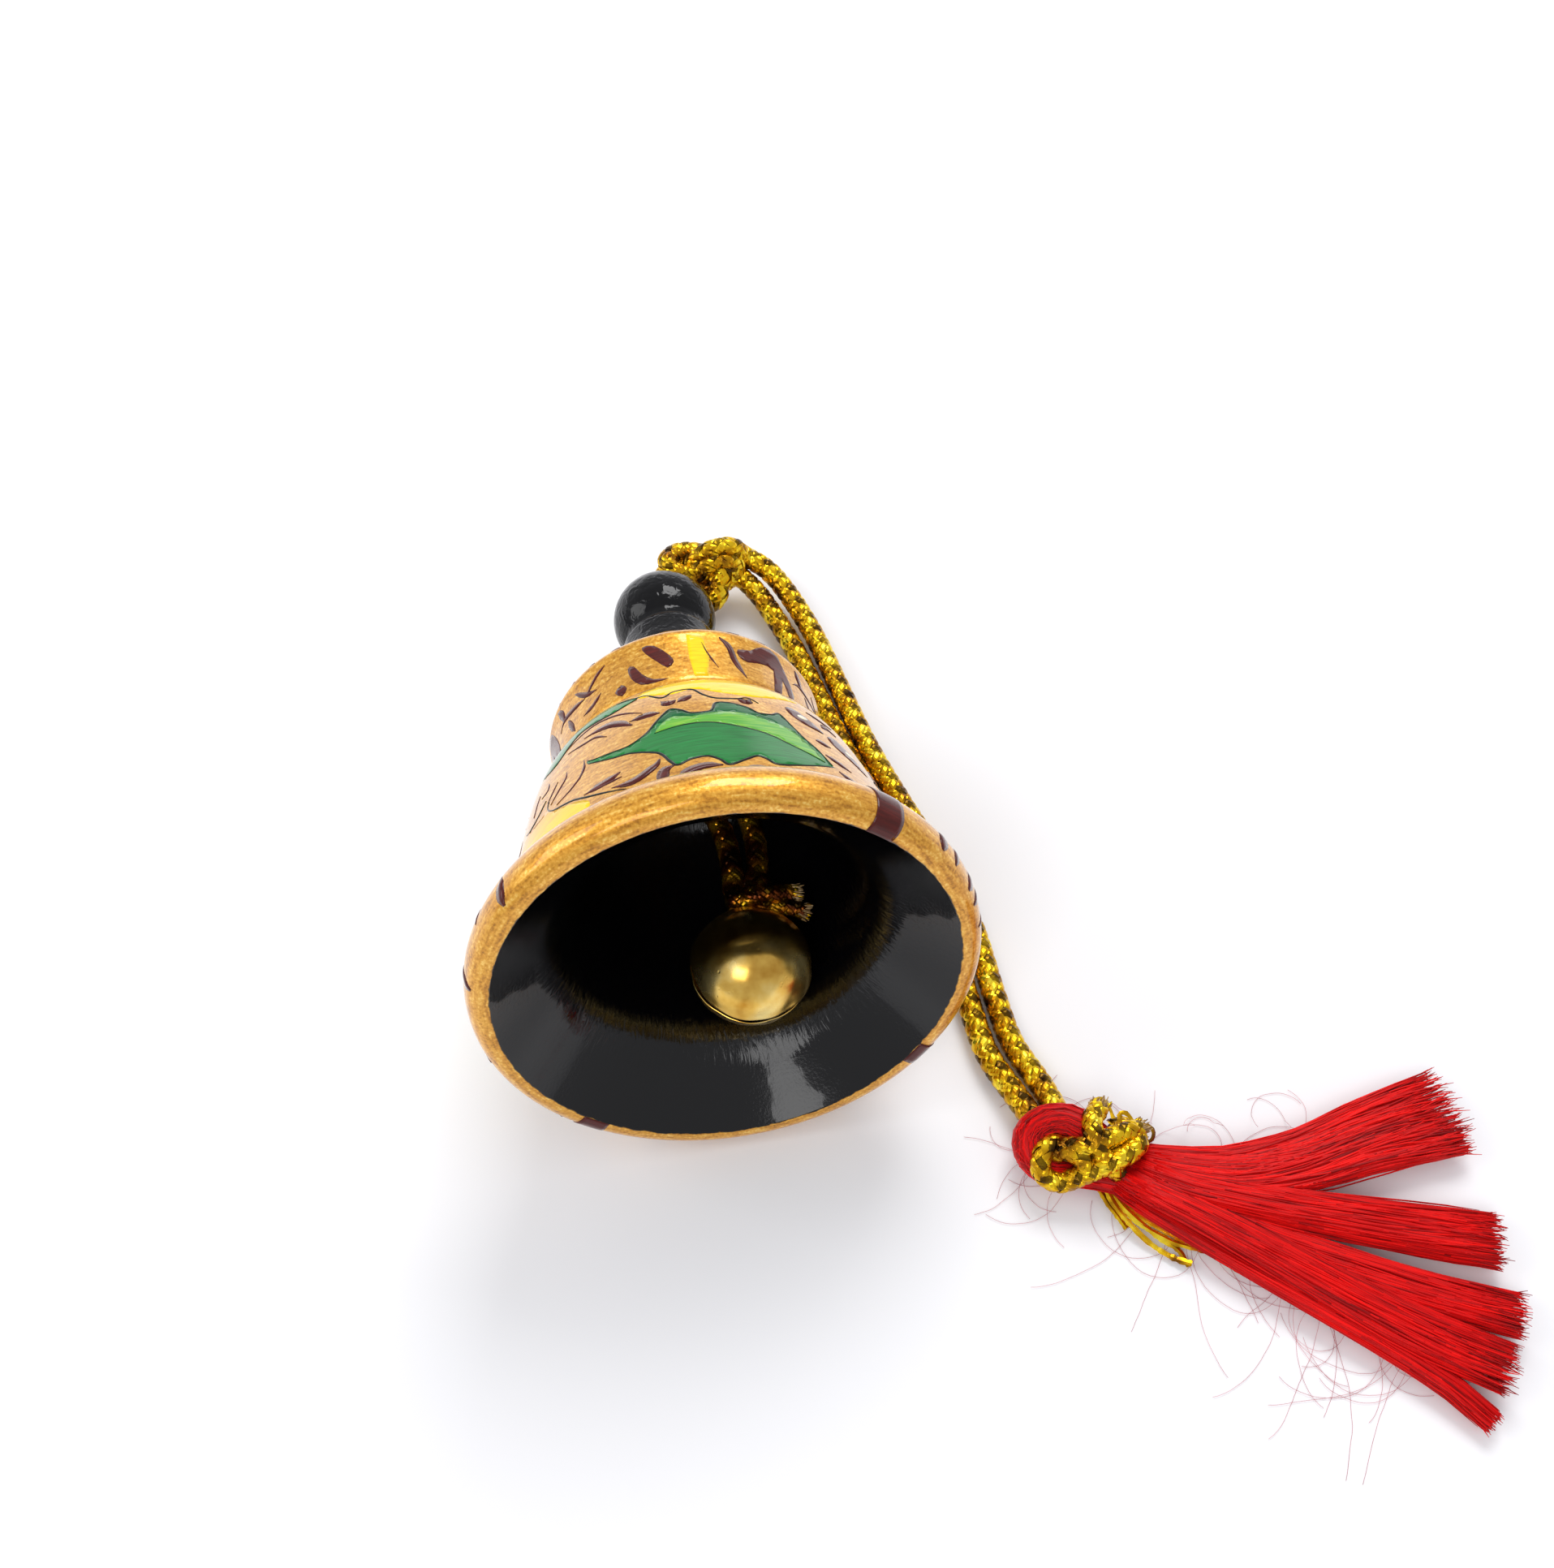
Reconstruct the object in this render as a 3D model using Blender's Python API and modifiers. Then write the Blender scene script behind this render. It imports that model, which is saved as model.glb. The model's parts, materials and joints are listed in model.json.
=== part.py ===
# Turned wooden bell ornament lying on its side: painted bell body, black finial,
# brass jingle bell on a doubled gold cord, hanging loop with a knotted red tassel.
# Metres, +Z up, floor at z = 0. The bell's axis lies in the YZ plane, mouth towards -Y.
import math

import bmesh
import bpy
from mathutils import Matrix, Vector

MM = 0.001

# driving dimensions (mm)
RIM_R = 25.0          # largest radius of the rim
RIM_S = 2.66          # its distance behind the mouth plane
LIP_R = 15.3          # cap lip radius
LIP_S = 37.0
CAP_TOP_S = 50.0
BORE_R = 3.25         # cord hole through cap and finial
SOCKET_R = 4.75       # counterbore for the finial's spigot
SPIGOT_R = 4.6
NECK_R = 5.7
BALL_R = 6.3
BALL_S = 60.4
BALL_FLAT_R = 4.4     # flat on top of the ball around the hole
CORD_R = 1.35
JINGLE_R = 6.5
JINGLE_WALL = 0.5
JINGLE_GAP = 0.7      # slit between the two half shells
PEA_R = 1.9
TILT = math.atan2(RIM_R - LIP_R, LIP_S - RIM_S)
MOUTH_Y = -29.4
MOUTH_Z = RIM_R * math.cos(TILT) + RIM_S * math.sin(TILT)
JINGLE_POS = (8.9, 2.8, -7.3)      # along the axis, sideways, up from the axis
PIVOT_S = 33.0                      # where the inner cord leaves the bore
STRAND_OFFSET = 1.55                # each strand's distance from the middle of the pair
EYE_R = 1.3                         # wire eye on top of the jingle bell
EYE_RISE = 1.6                      # eye centre above the shells
EYE_WIRE_R = 0.35
KNOT_ASIDE = 3.5                    # the inner knot sits beside the eye
KNOT_CORD_R = 0.65                  # drawn tight; under half the gap where the cord crosses itself
STOP_CORD_R = 1.06
TIE_CORD_R = 0.8
CORD_PAST_HOLE = 2.5                # cord that shows past the finial's hole
KNOT_STEPS = 60                     # points along a knot's curve

YAW_AT = (13.4, 37.2, 3.6)           # where the loop bends at the stop knot
TASSEL_AT = (31.0, -37.2, 2.2)       # where the tassel hangs in the cord's fold

for ob in list(bpy.data.objects):
    bpy.data.objects.remove(ob, do_unlink=True)
scene = bpy.context.scene
bell = bpy.data.collections.new("bell_ornament")
tools = bpy.data.collections.new("cutters")
scene.collection.children.link(bell)
scene.collection.children.link(tools)


def mat(name, rgb, metal, rough):
    m = bpy.data.materials.new(name)
    m.use_nodes = True
    b = m.node_tree.nodes["Principled BSDF"]
    b.inputs["Base Color"].default_value = (*rgb, 1)
    b.inputs["Metallic"].default_value = metal
    b.inputs["Roughness"].default_value = rough
    return m


def finish(ob, m, origin=None):
    """Give a piece its material and, if it moves, an origin on its joint's axis."""
    ob.data.materials.clear()
    ob.data.materials.append(m)
    for p in ob.data.polygons:
        p.use_smooth = True
    if origin is not None:
        ob.data.transform(Matrix.Translation(-Vector(origin) * MM))
        ob.location = Vector(origin) * MM
    return ob


def keep_mesh(ob):
    """Bake modifiers and the object's place into its mesh."""
    dg = bpy.context.evaluated_depsgraph_get()
    me = bpy.data.meshes.new_from_object(ob.evaluated_get(dg))
    me.transform(ob.matrix_world)
    if ob.matrix_world.determinant() < 0:
        me.flip_normals()
    name = ob.name
    cols = list(ob.users_collection)
    bpy.data.objects.remove(ob, do_unlink=True)
    new = bpy.data.objects.new(name, me)
    for c in cols:
        c.objects.link(new)
    new.data.name = name
    return new


AXIS = Vector((0, math.cos(TILT), -math.sin(TILT)))
UP = Vector((0, math.sin(TILT), math.cos(TILT)))
MOUTH = Vector((0, MOUTH_Y, MOUTH_Z))
PLACE = Matrix.Translation(MOUTH * MM) @ Matrix.Rotation(-(math.pi / 2 + TILT), 4, "X")


def at(s, x, up):
    return MOUTH + AXIS * s + Vector((x, 0, 0)) + UP * up


def edge_mesh(name, pts, closed):
    me = bpy.data.meshes.new(name)
    n = len(pts)
    edges = [(i, i + 1) for i in range(n - 1)]
    if closed:
        edges.append((n - 1, 0))
    me.from_pydata([Vector(p) * MM for p in pts], edges, [])
    ob = bpy.data.objects.new(name, me)
    bell.objects.link(ob)
    return ob


def turned(name, profile, steps, closed=True, place=PLACE):
    """Turn an (r, s) profile round the axis."""
    ob = edge_mesh(name, [(r, 0, s) for r, s in profile], closed)
    sc = ob.modifiers.new("turn", "SCREW")
    sc.axis = "Z"
    sc.angle = math.tau
    sc.screw_offset = 0
    sc.steps = steps
    sc.render_steps = steps
    sc.use_merge_vertices = True
    sc.merge_threshold = 0.000005
    sc.use_normal_calculate = True
    ob.matrix_world = place
    bpy.context.view_layer.update()
    return outward(keep_mesh(ob))


def outward(ob):
    bm = bmesh.new()
    bm.from_mesh(ob.data)
    bmesh.ops.remove_doubles(bm, verts=bm.verts, dist=0.000004)
    bmesh.ops.recalc_face_normals(bm, faces=bm.faces)
    if bm.calc_volume(signed=True) < 0:
        bmesh.ops.reverse_faces(bm, faces=bm.faces)
    bm.to_mesh(ob.data)
    bm.free()
    return ob


def smooth_path(pts, n):
    """Catmull-Rom through pts, n points per span."""
    pts = [Vector(p) for p in pts]
    ext = [pts[0] * 2 - pts[1]] + pts + [pts[-1] * 2 - pts[-2]]
    out = []
    for i in range(1, len(ext) - 2):
        a, b, c, d = ext[i - 1:i + 3]
        for k in range(n):
            t = k / n
            out.append(0.5 * ((2 * b) + (c - a) * t + (2 * a - 5 * b + 4 * c - d) * t * t
                              + (3 * b - a - 3 * c + d) * t ** 3))
    out.append(pts[-1])
    return out


def oval(name, a, b):
    cu = bpy.data.curves.new(name, "CURVE")
    cu.dimensions = "2D"
    sp = cu.splines.new("POLY")
    sp.points.add(11)
    for i in range(12):
        t = math.tau * i / 12
        sp.points[i].co = (a * math.cos(t), b * math.sin(t), 0, 1)
    sp.use_cyclic_u = True
    ob = bpy.data.objects.new(name, cu)
    tools.objects.link(ob)
    ob.hide_render = True
    ob.display_type = "WIRE"
    return ob


def rope(name, pts, r, per_span=4, taper=None, flat=1.0):
    cu = bpy.data.curves.new(name, "CURVE")
    cu.dimensions = "3D"
    if flat < 1.0:
        cu.bevel_mode = "OBJECT"
        cu.bevel_object = oval(name + "_section", r * MM, r * flat * MM)
        cu.twist_mode = "Z_UP"
    else:
        cu.bevel_depth = r * MM
        cu.bevel_resolution = 2
        cu.twist_mode = "MINIMUM"
    cu.use_fill_caps = True
    path = smooth_path(pts, per_span)
    sp = cu.splines.new("POLY")
    sp.points.add(len(path) - 1)
    for i, p in enumerate(path):
        sp.points[i].co = (*(p * MM), 1)
        if taper:
            u = i / (len(path) - 1)
            sp.points[i].radius = taper[0] + (taper[1] - taper[0]) * u
    ob = bpy.data.objects.new(name, cu)
    bell.objects.link(ob)
    bpy.context.view_layer.update()
    return outward(keep_mesh(ob))


def ball(name, r, centre, seg, ring):
    bpy.ops.mesh.primitive_uv_sphere_add(segments=seg, ring_count=ring, radius=r * MM,
                                         location=Vector(centre) * MM)
    ob = bpy.context.object
    ob.name = name
    for c in list(ob.users_collection):
        c.objects.unlink(ob)
    bell.objects.link(ob)
    bpy.context.view_layer.update()
    return outward(keep_mesh(ob))


def trefoil(t):
    """Unit overhand-knot curve; about -2.6 to 2.6 leaves both ends open."""
    return Vector((math.sin(t) + 2 * math.sin(2 * t), math.cos(t) - 2 * math.cos(2 * t), -math.sin(3 * t)))


wood_gold = mat("painted_gold_wood", (0.60, 0.36, 0.06), 0.6, 0.3)
black_lacquer = mat("black_lacquer", (0.008, 0.008, 0.01), 0.0, 0.12)
brass = mat("polished_brass", (0.80, 0.55, 0.20), 1.0, 0.22)
steel = mat("steel_pea", (0.45, 0.45, 0.46), 1.0, 0.3)
gold_cord = mat("gold_cord", (0.62, 0.40, 0.05), 0.7, 0.35)
red_floss = mat("red_floss", (0.60, 0.01, 0.012), 0.0, 0.55)

# turned bell body: rim, flared belly, groove, cap, hollow inside
outer = [(22.6, 0.0), (23.7, 0.0), (24.5, 0.55), (24.92, 1.5), (25.0, RIM_S), (24.62, 3.8),
         (23.9, 4.8), (22.9, 5.6), (22.0, 6.1), (21.6, 6.5), (21.3, 7.6), (20.9, 9.8),
         (20.3, 12.6), (19.6, 16.0), (18.95, 19.2), (18.25, 22.2), (17.45, 24.8),
         (16.6, 26.7), (15.8, 27.8), (14.9, 28.3), (14.4, 28.7), (14.4, 29.2), (14.75, 29.8),
         (14.85, 31.6), (14.9, 33.6), (15.05, 35.4), (15.2, 36.3), (LIP_R, LIP_S),
         (15.1, 37.6), (14.5, 38.4), (13.4, 39.3), (11.9, 40.6), (10.3, 42.3), (8.8, 44.5),
         (7.5, 46.8), (6.6, 48.6), (6.1, CAP_TOP_S)]
inner = [(SOCKET_R, CAP_TOP_S), (SOCKET_R, 44.0), (BORE_R, 44.0), (BORE_R, PIVOT_S + 0.8),
         (3.9, PIVOT_S), (7.6, 31.6), (9.8, 29.0), (11.4, 25.5), (12.5, 21.5), (13.5, 16.5),
         (14.3, 12.0), (15.0, 9.2), (16.0, 7.0), (17.4, 5.1), (19.3, 3.3),
         (21.1, 1.6), (22.3, 0.4)]
finish(turned("bell_body", outer + inner, 64), wood_gold)

# finial: spigot, neck, ring groove, bored ball
foot = CAP_TOP_S + 0.04
prof = [(BORE_R, 44.15), (SPIGOT_R, 44.15), (SPIGOT_R, foot), (5.85, foot), (5.8, 51.0),
        (NECK_R, 52.2), (NECK_R, 54.0), (5.55, 54.7), (5.0, 55.1), (4.9, 55.6), (5.0, 56.3)]
a0 = math.atan2(5.0, 56.3 - BALL_S)
flat_z = math.sqrt(BALL_R ** 2 - BALL_FLAT_R ** 2)
a1 = math.atan2(BALL_FLAT_R, flat_z)
for i in range(1, 10):
    a = a0 + (a1 - a0) * i / 9
    prof.append((BALL_R * math.sin(a), BALL_S + BALL_R * math.cos(a)))
hole_s = BALL_S + flat_z
prof += [(3.55, hole_s + 0.05), (BORE_R, hole_s - 0.4)]
finish(turned("finial", prof, 36), black_lacquer)

# jingle bell: two pressed half shells, wire eye and loose pea
pivot = at(PIVOT_S, 0, 0)
jc = at(*JINGLE_POS)
D = (jc - pivot).normalized()                  # from the bore towards the jingle
side = Vector((-0.972, -0.175, 0.155))
side = (side - D * side.dot(D)).normalized()   # the slit runs round through this direction
front = side.cross(D).normalized()             # centre of the shell that faces the mouth's top
if front.z < 0:
    front = -front


def half_shell(name, n):
    r0, r1 = JINGLE_R, JINGLE_R - JINGLE_WALL
    h = JINGLE_GAP / 2
    prof = []
    c0 = math.asin(h / r0)
    c1 = math.asin(h / r1)
    k = 8
    for i in range(k + 1):
        a = c0 + (math.pi / 2 - c0) * i / k
        prof.append((r0 * math.cos(a), r0 * math.sin(a)))
    for i in range(k + 1):
        a = math.pi / 2 - (math.pi / 2 - c1) * i / k
        prof.append((r1 * math.cos(a), r1 * math.sin(a)))
    prof[k] = (0.0, r0)
    prof[k + 1] = (0.0, r1)
    x = D
    y = n.cross(x)
    m = Matrix((x, y, n)).transposed().to_4x4()
    m.translation = jc * MM
    return turned(name, prof, 28, True, m)


# the pressed sheet closes at the eye: each half shell keeps its rim flat along the slit
finish(half_shell("jingle_shell_front", front), brass, pivot)
finish(half_shell("jingle_shell_back", -front), brass, pivot)

# wire eye: a bent wire with both feet resting on the shells' top
eye_c = jc - D * (JINGLE_R + EYE_RISE)
eye = []
for i in range(15):
    a = math.radians(-62 + 304 * i / 14)
    eye.append(eye_c + front * (EYE_R * math.cos(a)) - D * (EYE_R * math.sin(a)))
finish(rope("jingle_eye", eye, EYE_WIRE_R, 1), brass, pivot)
pea_rest = jc - Vector((0, 0, JINGLE_R - JINGLE_WALL - PEA_R - 0.25))
finish(ball("jingle_pea", PEA_R, pea_rest, 16, 10), steel, pea_rest)

# doubled cord inside the bell, knotted beside the eye
across = D.cross(front).normalized()
if across.x < 0:
    across = -across
strand_end = eye_c - D * (EYE_R + EYE_WIRE_R + 0.4)
for name, sign in (("clapper_strand_left", -1), ("clapper_strand_right", 1)):
    off = across * (sign * STRAND_OFFSET)
    pts = [pivot - D * 0.2 + off, strand_end + off]
    finish(rope(name, pts, CORD_R, 6), gold_cord, pivot)
knot_c = eye_c + across * KNOT_ASIDE
knot = []
for i in range(KNOT_STEPS + 1):
    q = trefoil(-2.35 + 4.7 * i / KNOT_STEPS)
    knot.append(knot_c + across * (q.x * 0.85) + front * (q.y * 0.95) - D * (q.z * 1.15))
finish(rope("clapper_knot", knot, KNOT_CORD_R, 1), gold_cord, pivot)

# the two strands where they pass through the bore of cap and finial
for name, sign in (("bore_strand_left", -1), ("bore_strand_right", 1)):
    pts = [at(PIVOT_S + 0.9, sign * STRAND_OFFSET, 0), at(hole_s + CORD_PAST_HOLE, sign * STRAND_OFFSET, 0)]
    finish(rope(name, pts, CORD_R, 8), gold_cord, pivot)

# hanging loop: stop knot behind the ball, two strands on the floor
hole = at(hole_s, 0, 0)
stop = []
stop_c = Vector((5.9, 39.1, 5.4))
for i in range(KNOT_STEPS + 1):
    q = trefoil(-2.62 + 5.24 * i / KNOT_STEPS)
    stop.append(stop_c + Vector((q.x * 1.75, q.y * 1.45 + 0.25 * q.x, q.z * 2.2)))
finish(rope("stop_knot", stop, STOP_CORD_R, 1), gold_cord, hole)

outer_path = [(14.4, 38.3, 4.2), (16.6, 34.8, 3.0), (18.9, 28.4, 1.9), (20.6, 20.0, 1.6),
              (22.4, 11.0, 1.5), (24.6, 3.0, 1.45), (27.4, -6.0, 1.4), (29.4, -15.0, 1.4),
              (29.9, -24.0, 1.4), (30.5, -30.0, 1.4), (32.3, -35.4, 1.8)]
inner_path = [(12.4, 36.2, 3.0), (14.1, 32.8, 2.1), (16.0, 27.2, 1.5), (17.7, 19.6, 1.4),
              (19.5, 11.2, 1.4), (21.6, 3.4, 1.4), (24.4, -5.6, 1.4), (26.4, -14.8, 1.4),
              (26.9, -24.4, 1.4), (27.5, -30.8, 1.4), (29.4, -36.3, 1.8)]
finish(rope("loop_strand_outer", outer_path, CORD_R, 3), gold_cord, YAW_AT)
finish(rope("loop_strand_inner", inner_path, CORD_R, 3), gold_cord, YAW_AT)

# tassel: red head looped through the cord's fold, gold tie knot, floss tufts
head = []
head_c = Vector((32.0, -42.2, 3.9))
for i in range(19):
    a = math.radians(-150 + 300 * i / 18)
    head.append(head_c + Vector((3.1 * math.sin(a) - 0.4, 2.5 * math.cos(a), 0.55 * math.sin(a / 2))))
finish(rope("tassel_head", head, 1.75, 1), red_floss, TASSEL_AT)

tie_knot = []
tie_c = Vector((38.6, -44.2, 4.6))
for i in range(KNOT_STEPS + 1):
    q = trefoil(-2.5 + 5.0 * i / KNOT_STEPS)
    tie_knot.append(tie_c + Vector((q.y * 1.15, q.x * 1.35, q.z * 1.55)))
finish(rope("tie_knot", tie_knot, TIE_CORD_R, 1), gold_cord, TASSEL_AT)

tufts = [
    ("tuft_back", [(42.8, -45.0, 3.9), (46.2, -46.0, 3.5), (50.6, -46.6, 3.2), (57, -46.9, 3.2),
                   (63.6, -46.4, 3.1), (69.1, -45.6, 3.0), (73.2, -45.0, 2.9)], 1.0, 4.1, 0.66),
    ("tuft_second", [(42.4, -47.3, 3.4), (46.4, -49.3, 2.9), (52.6, -52.1, 2.6), (60.6, -55.2, 2.4),
                     (66.4, -57.0, 2.3), (73.2, -58.9, 2.2)], 0.8, 2.6, 0.75),
    ("tuft_third", [(41.3, -49.2, 3.2), (45.4, -51.9, 2.6), (51.9, -56.2, 2.3), (59.3, -60.5, 2.2),
                    (65.6, -63.3, 2.1), (73.0, -66.2, 2.0)], 0.8, 2.1, 0.8),
    ("tuft_fourth", [(39.9, -50.7, 3.0), (44.0, -54.2, 2.5), (50.5, -59.3, 2.2), (57.6, -64.4, 2.1),
                     (63.6, -68.3, 2.0), (69.8, -71.6, 1.9)], 0.8, 2.1, 0.8),
    ("tuft_front", [(38.2, -51.9, 2.5), (41.8, -55.7, 2.1), (47.7, -61.2, 1.8), (53.1, -65.8, 1.7),
                    (58.4, -70.2, 1.6), (62.6, -73.8, 1.6), (66.0, -76.8, 1.5)], 0.75, 1.35, 0.9),
]
for name, pts, w0, w1, flat in tufts:
    finish(rope(name, pts, w0, 4, taper=(1.0, w1 / w0), flat=flat), red_floss, TASSEL_AT)
foils = [("foil_end_left", [(34.4, -48.6, 1.1), (36.8, -52.4, 0.8), (39.6, -56.4, 0.6)]),
         ("foil_end_right", [(32.6, -48.0, 1.1), (33.6, -53.6, 0.7), (36.0, -58.4, 0.6)])]
for name, pts in foils:
    finish(rope(name, pts, 0.5, 4, taper=(1.1, 0.8)), gold_cord, TASSEL_AT)
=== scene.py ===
import json
import math
import random
import bmesh
import bpy
from mathutils import Matrix, Vector, noise
from mathutils.geometry import delaunay_2d_cdt


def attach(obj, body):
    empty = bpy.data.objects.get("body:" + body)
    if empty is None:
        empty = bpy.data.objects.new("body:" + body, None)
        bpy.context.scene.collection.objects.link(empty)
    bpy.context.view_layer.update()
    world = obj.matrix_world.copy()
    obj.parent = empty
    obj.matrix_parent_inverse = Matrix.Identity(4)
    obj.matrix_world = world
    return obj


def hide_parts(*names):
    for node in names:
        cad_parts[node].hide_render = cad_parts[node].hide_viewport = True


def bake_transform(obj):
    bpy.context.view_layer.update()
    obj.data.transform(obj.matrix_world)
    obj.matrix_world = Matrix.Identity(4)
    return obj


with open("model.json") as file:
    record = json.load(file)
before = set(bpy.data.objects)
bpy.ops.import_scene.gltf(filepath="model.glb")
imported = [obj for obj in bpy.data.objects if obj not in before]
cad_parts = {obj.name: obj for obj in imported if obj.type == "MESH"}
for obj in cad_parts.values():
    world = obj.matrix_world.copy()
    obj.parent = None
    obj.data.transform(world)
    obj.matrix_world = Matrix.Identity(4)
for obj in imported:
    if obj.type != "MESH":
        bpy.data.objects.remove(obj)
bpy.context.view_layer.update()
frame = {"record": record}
mm = 0.001

# the bell's own frame
joints = {j["name"]: j for j in frame["record"]["behaviour"]["joints"]}
boreMouth = Vector(joints["clapper_roll"]["pos_m"])
bellAxis = Vector(joints["clapper_roll"]["axis"]).normalized()   # from the mouth to the finial
bellUp = Vector((1, 0, 0)).cross(bellAxis)
bellUp = bellUp if bellUp.z > 0 else -bellUp
boreMouthDepth = 33.0                                            # mm behind the mouth plane
mouthCentre = boreMouth - bellAxis * boreMouthDepth * mm
bellPlace = Matrix((Vector((1, 0, 0)), -bellUp, bellAxis)).transposed().to_4x4()
bellPlace.translation = mouthCentre
crossAxis = Vector((1, 0, 0))


def inBell(depth, side, up):
    # mm along the axis, sideways and up, as a point in metres
    return mouthCentre + (bellAxis * depth + crossAxis * side + bellUp * up) * mm


# small tools
def hexColour(text):
    out = []
    for i in (0, 2, 4):
        c = int(text[i:i + 2], 16) / 255
        out.append(c / 12.92 if c <= 0.04045 else ((c + 0.055) / 1.055) ** 2.4)
    return (*out, 1.0)


def setInputs(tree, node, inputs):
    for key, value in inputs.items():
        if isinstance(value, bpy.types.NodeSocket):
            tree.links.new(value, node.inputs[key])
        else:
            node.inputs[key].default_value = value


def addNode(tree, kind, inputs=None, stops=None, **settings):
    n = tree.nodes.new(kind)
    for key, value in settings.items():
        setattr(n, key, value)
    if stops:
        ramp = n.color_ramp
        while len(ramp.elements) < len(stops):
            ramp.elements.new(0.5)
        for e, (at, colour) in zip(ramp.elements, stops):
            e.position = at
            e.color = hexColour(colour) if isinstance(colour, str) else (colour, colour, colour, 1)
    setInputs(tree, n, inputs or {})
    return n


def startMaterial(name):
    m = bpy.data.materials.new(name)
    m.use_nodes = True
    tree = m.node_tree
    tree.nodes.clear()
    out = tree.nodes.new("ShaderNodeOutputMaterial")
    shader = tree.nodes.new("ShaderNodeBsdfPrincipled")
    tree.links.new(shader.outputs[0], out.inputs[0])
    return m, tree, shader


def driftingColour(name, scale, stops, detail=2.0):
    # a colour that drifts over the piece; the drift and its place are handed back for the relief
    m, t, s = startMaterial(name)
    where = addNode(t, "ShaderNodeTexCoord").outputs["Object"]
    drift = addNode(t, "ShaderNodeTexNoise", {"Vector": where, "Scale": scale, "Detail": detail})
    colour = addNode(t, "ShaderNodeValToRGB", {"Fac": drift.outputs["Fac"]}, stops=stops)
    setInputs(t, s, {"Base Color": colour.outputs[0]})
    return m, t, s, where, drift.outputs["Fac"]


def deselect():
    if bpy.context.mode != "OBJECT":
        bpy.ops.object.mode_set(mode="OBJECT")
    bpy.ops.object.select_all(action="DESELECT")


def curveAt(a, b, c, d, t):
    # a point on the smooth curve between b and c
    return 0.5 * ((2 * b) + (c - a) * t + (2 * a - 5 * b + 4 * c - d) * t * t
                  + (3 * b - a - 3 * c + d) * t ** 3)


def smoothLine(points, perSpan):
    # a smooth line through the points, the same count of steps in every span
    pts = [Vector(p) for p in points]
    ext = [pts[0] * 2 - pts[1]] + pts + [pts[-1] * 2 - pts[-2]]
    out = []
    for i in range(1, len(ext) - 2):
        a, b, c, d = ext[i - 1:i + 3]
        for k in range(perSpan):
            out.append(curveAt(a, b, c, d, k / perSpan))
    out.append(pts[-1])
    return out


def evenly(points, step):
    # the same line with points a fixed distance apart
    out = [points[0].copy()]
    need = step
    for a, b in zip(points, points[1:]):
        seg = (b - a).length
        done = 0.0
        while seg - done >= need:
            done += need
            out.append(a.lerp(b, done / seg))
            need = step
        need -= seg - done
    if (out[-1] - points[-1]).length > step * 0.3:
        out.append(points[-1].copy())
    return out


def lineLength(points):
    return sum((b - a).length for a, b in zip(points, points[1:]))


def carriedFrames(points, first=Vector((0, 0, 1))):
    # tangent, normal and binormal carried along a line without twist
    frames = []
    n = None
    for i, p in enumerate(points):
        a = points[max(i - 1, 0)]
        b = points[min(i + 1, len(points) - 1)]
        t = (b - a).normalized()
        if n is None:
            n = first - t * first.dot(t)
            if n.length < 1e-6:
                n = Vector((1, 0, 0)) - t * t.x
        n = (n - t * n.dot(t)).normalized()
        frames.append((t, n, t.cross(n)))
    return frames


def meshObject(name, verts, faces, materials, faceMaterial=None, smooth=True):
    me = bpy.data.meshes.new(name)
    me.from_pydata([tuple(v) for v in verts], [], faces)
    for m in materials:
        me.materials.append(m)
    if faceMaterial:
        me.polygons.foreach_set("material_index", faceMaterial)
    me.polygons.foreach_set("use_smooth", [smooth] * len(faces))
    me.update()
    ob = bpy.data.objects.new(name, me)
    bpy.context.scene.collection.objects.link(ob)
    return ob


def tubeFaces(base, rows, sides):
    # the sides and the two ends of a tube whose rings of points follow each other
    faces = []
    for i in range(rows - 1):
        a, b = base + i * sides, base + (i + 1) * sides
        for k in range(sides):
            k2 = (k + 1) % sides
            faces.append((a + k, a + k2, b + k2, b + k))
    faces.append(tuple(base + k for k in range(sides))[::-1])
    faces.append(tuple(base + (rows - 1) * sides + k for k in range(sides)))
    return faces


def outwardFaces(ob, uvs=None, layerName="along"):
    # faces point outwards; each corner takes its point's place in an unrolled map
    bm = bmesh.new()
    bm.from_mesh(ob.data)
    if uvs:
        layer = bm.loops.layers.uv.new(layerName)
        for f in bm.faces:
            for loop in f.loops:
                loop[layer].uv = uvs[loop.vert.index]
    bmesh.ops.recalc_face_normals(bm, faces=bm.faces)
    bm.to_mesh(ob.data)
    bm.free()


# camera, lights and floor
cameraSet = {"place": (-0.005895, -0.092112, 0.161004), "pitch": 32.26, "turn": -9.40, "lens": 35.776}
cam = bpy.data.cameras.new("camera")
cam.lens = cameraSet["lens"]
cam.sensor_width = 36
cam.clip_start = 0.005
camera = bpy.data.objects.new("camera", cam)
camera.location = cameraSet["place"]
camera.rotation_euler = (math.radians(cameraSet["pitch"]), 0, math.radians(cameraSet["turn"]))
bpy.context.scene.collection.objects.link(camera)
bpy.context.scene.camera = camera

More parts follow.
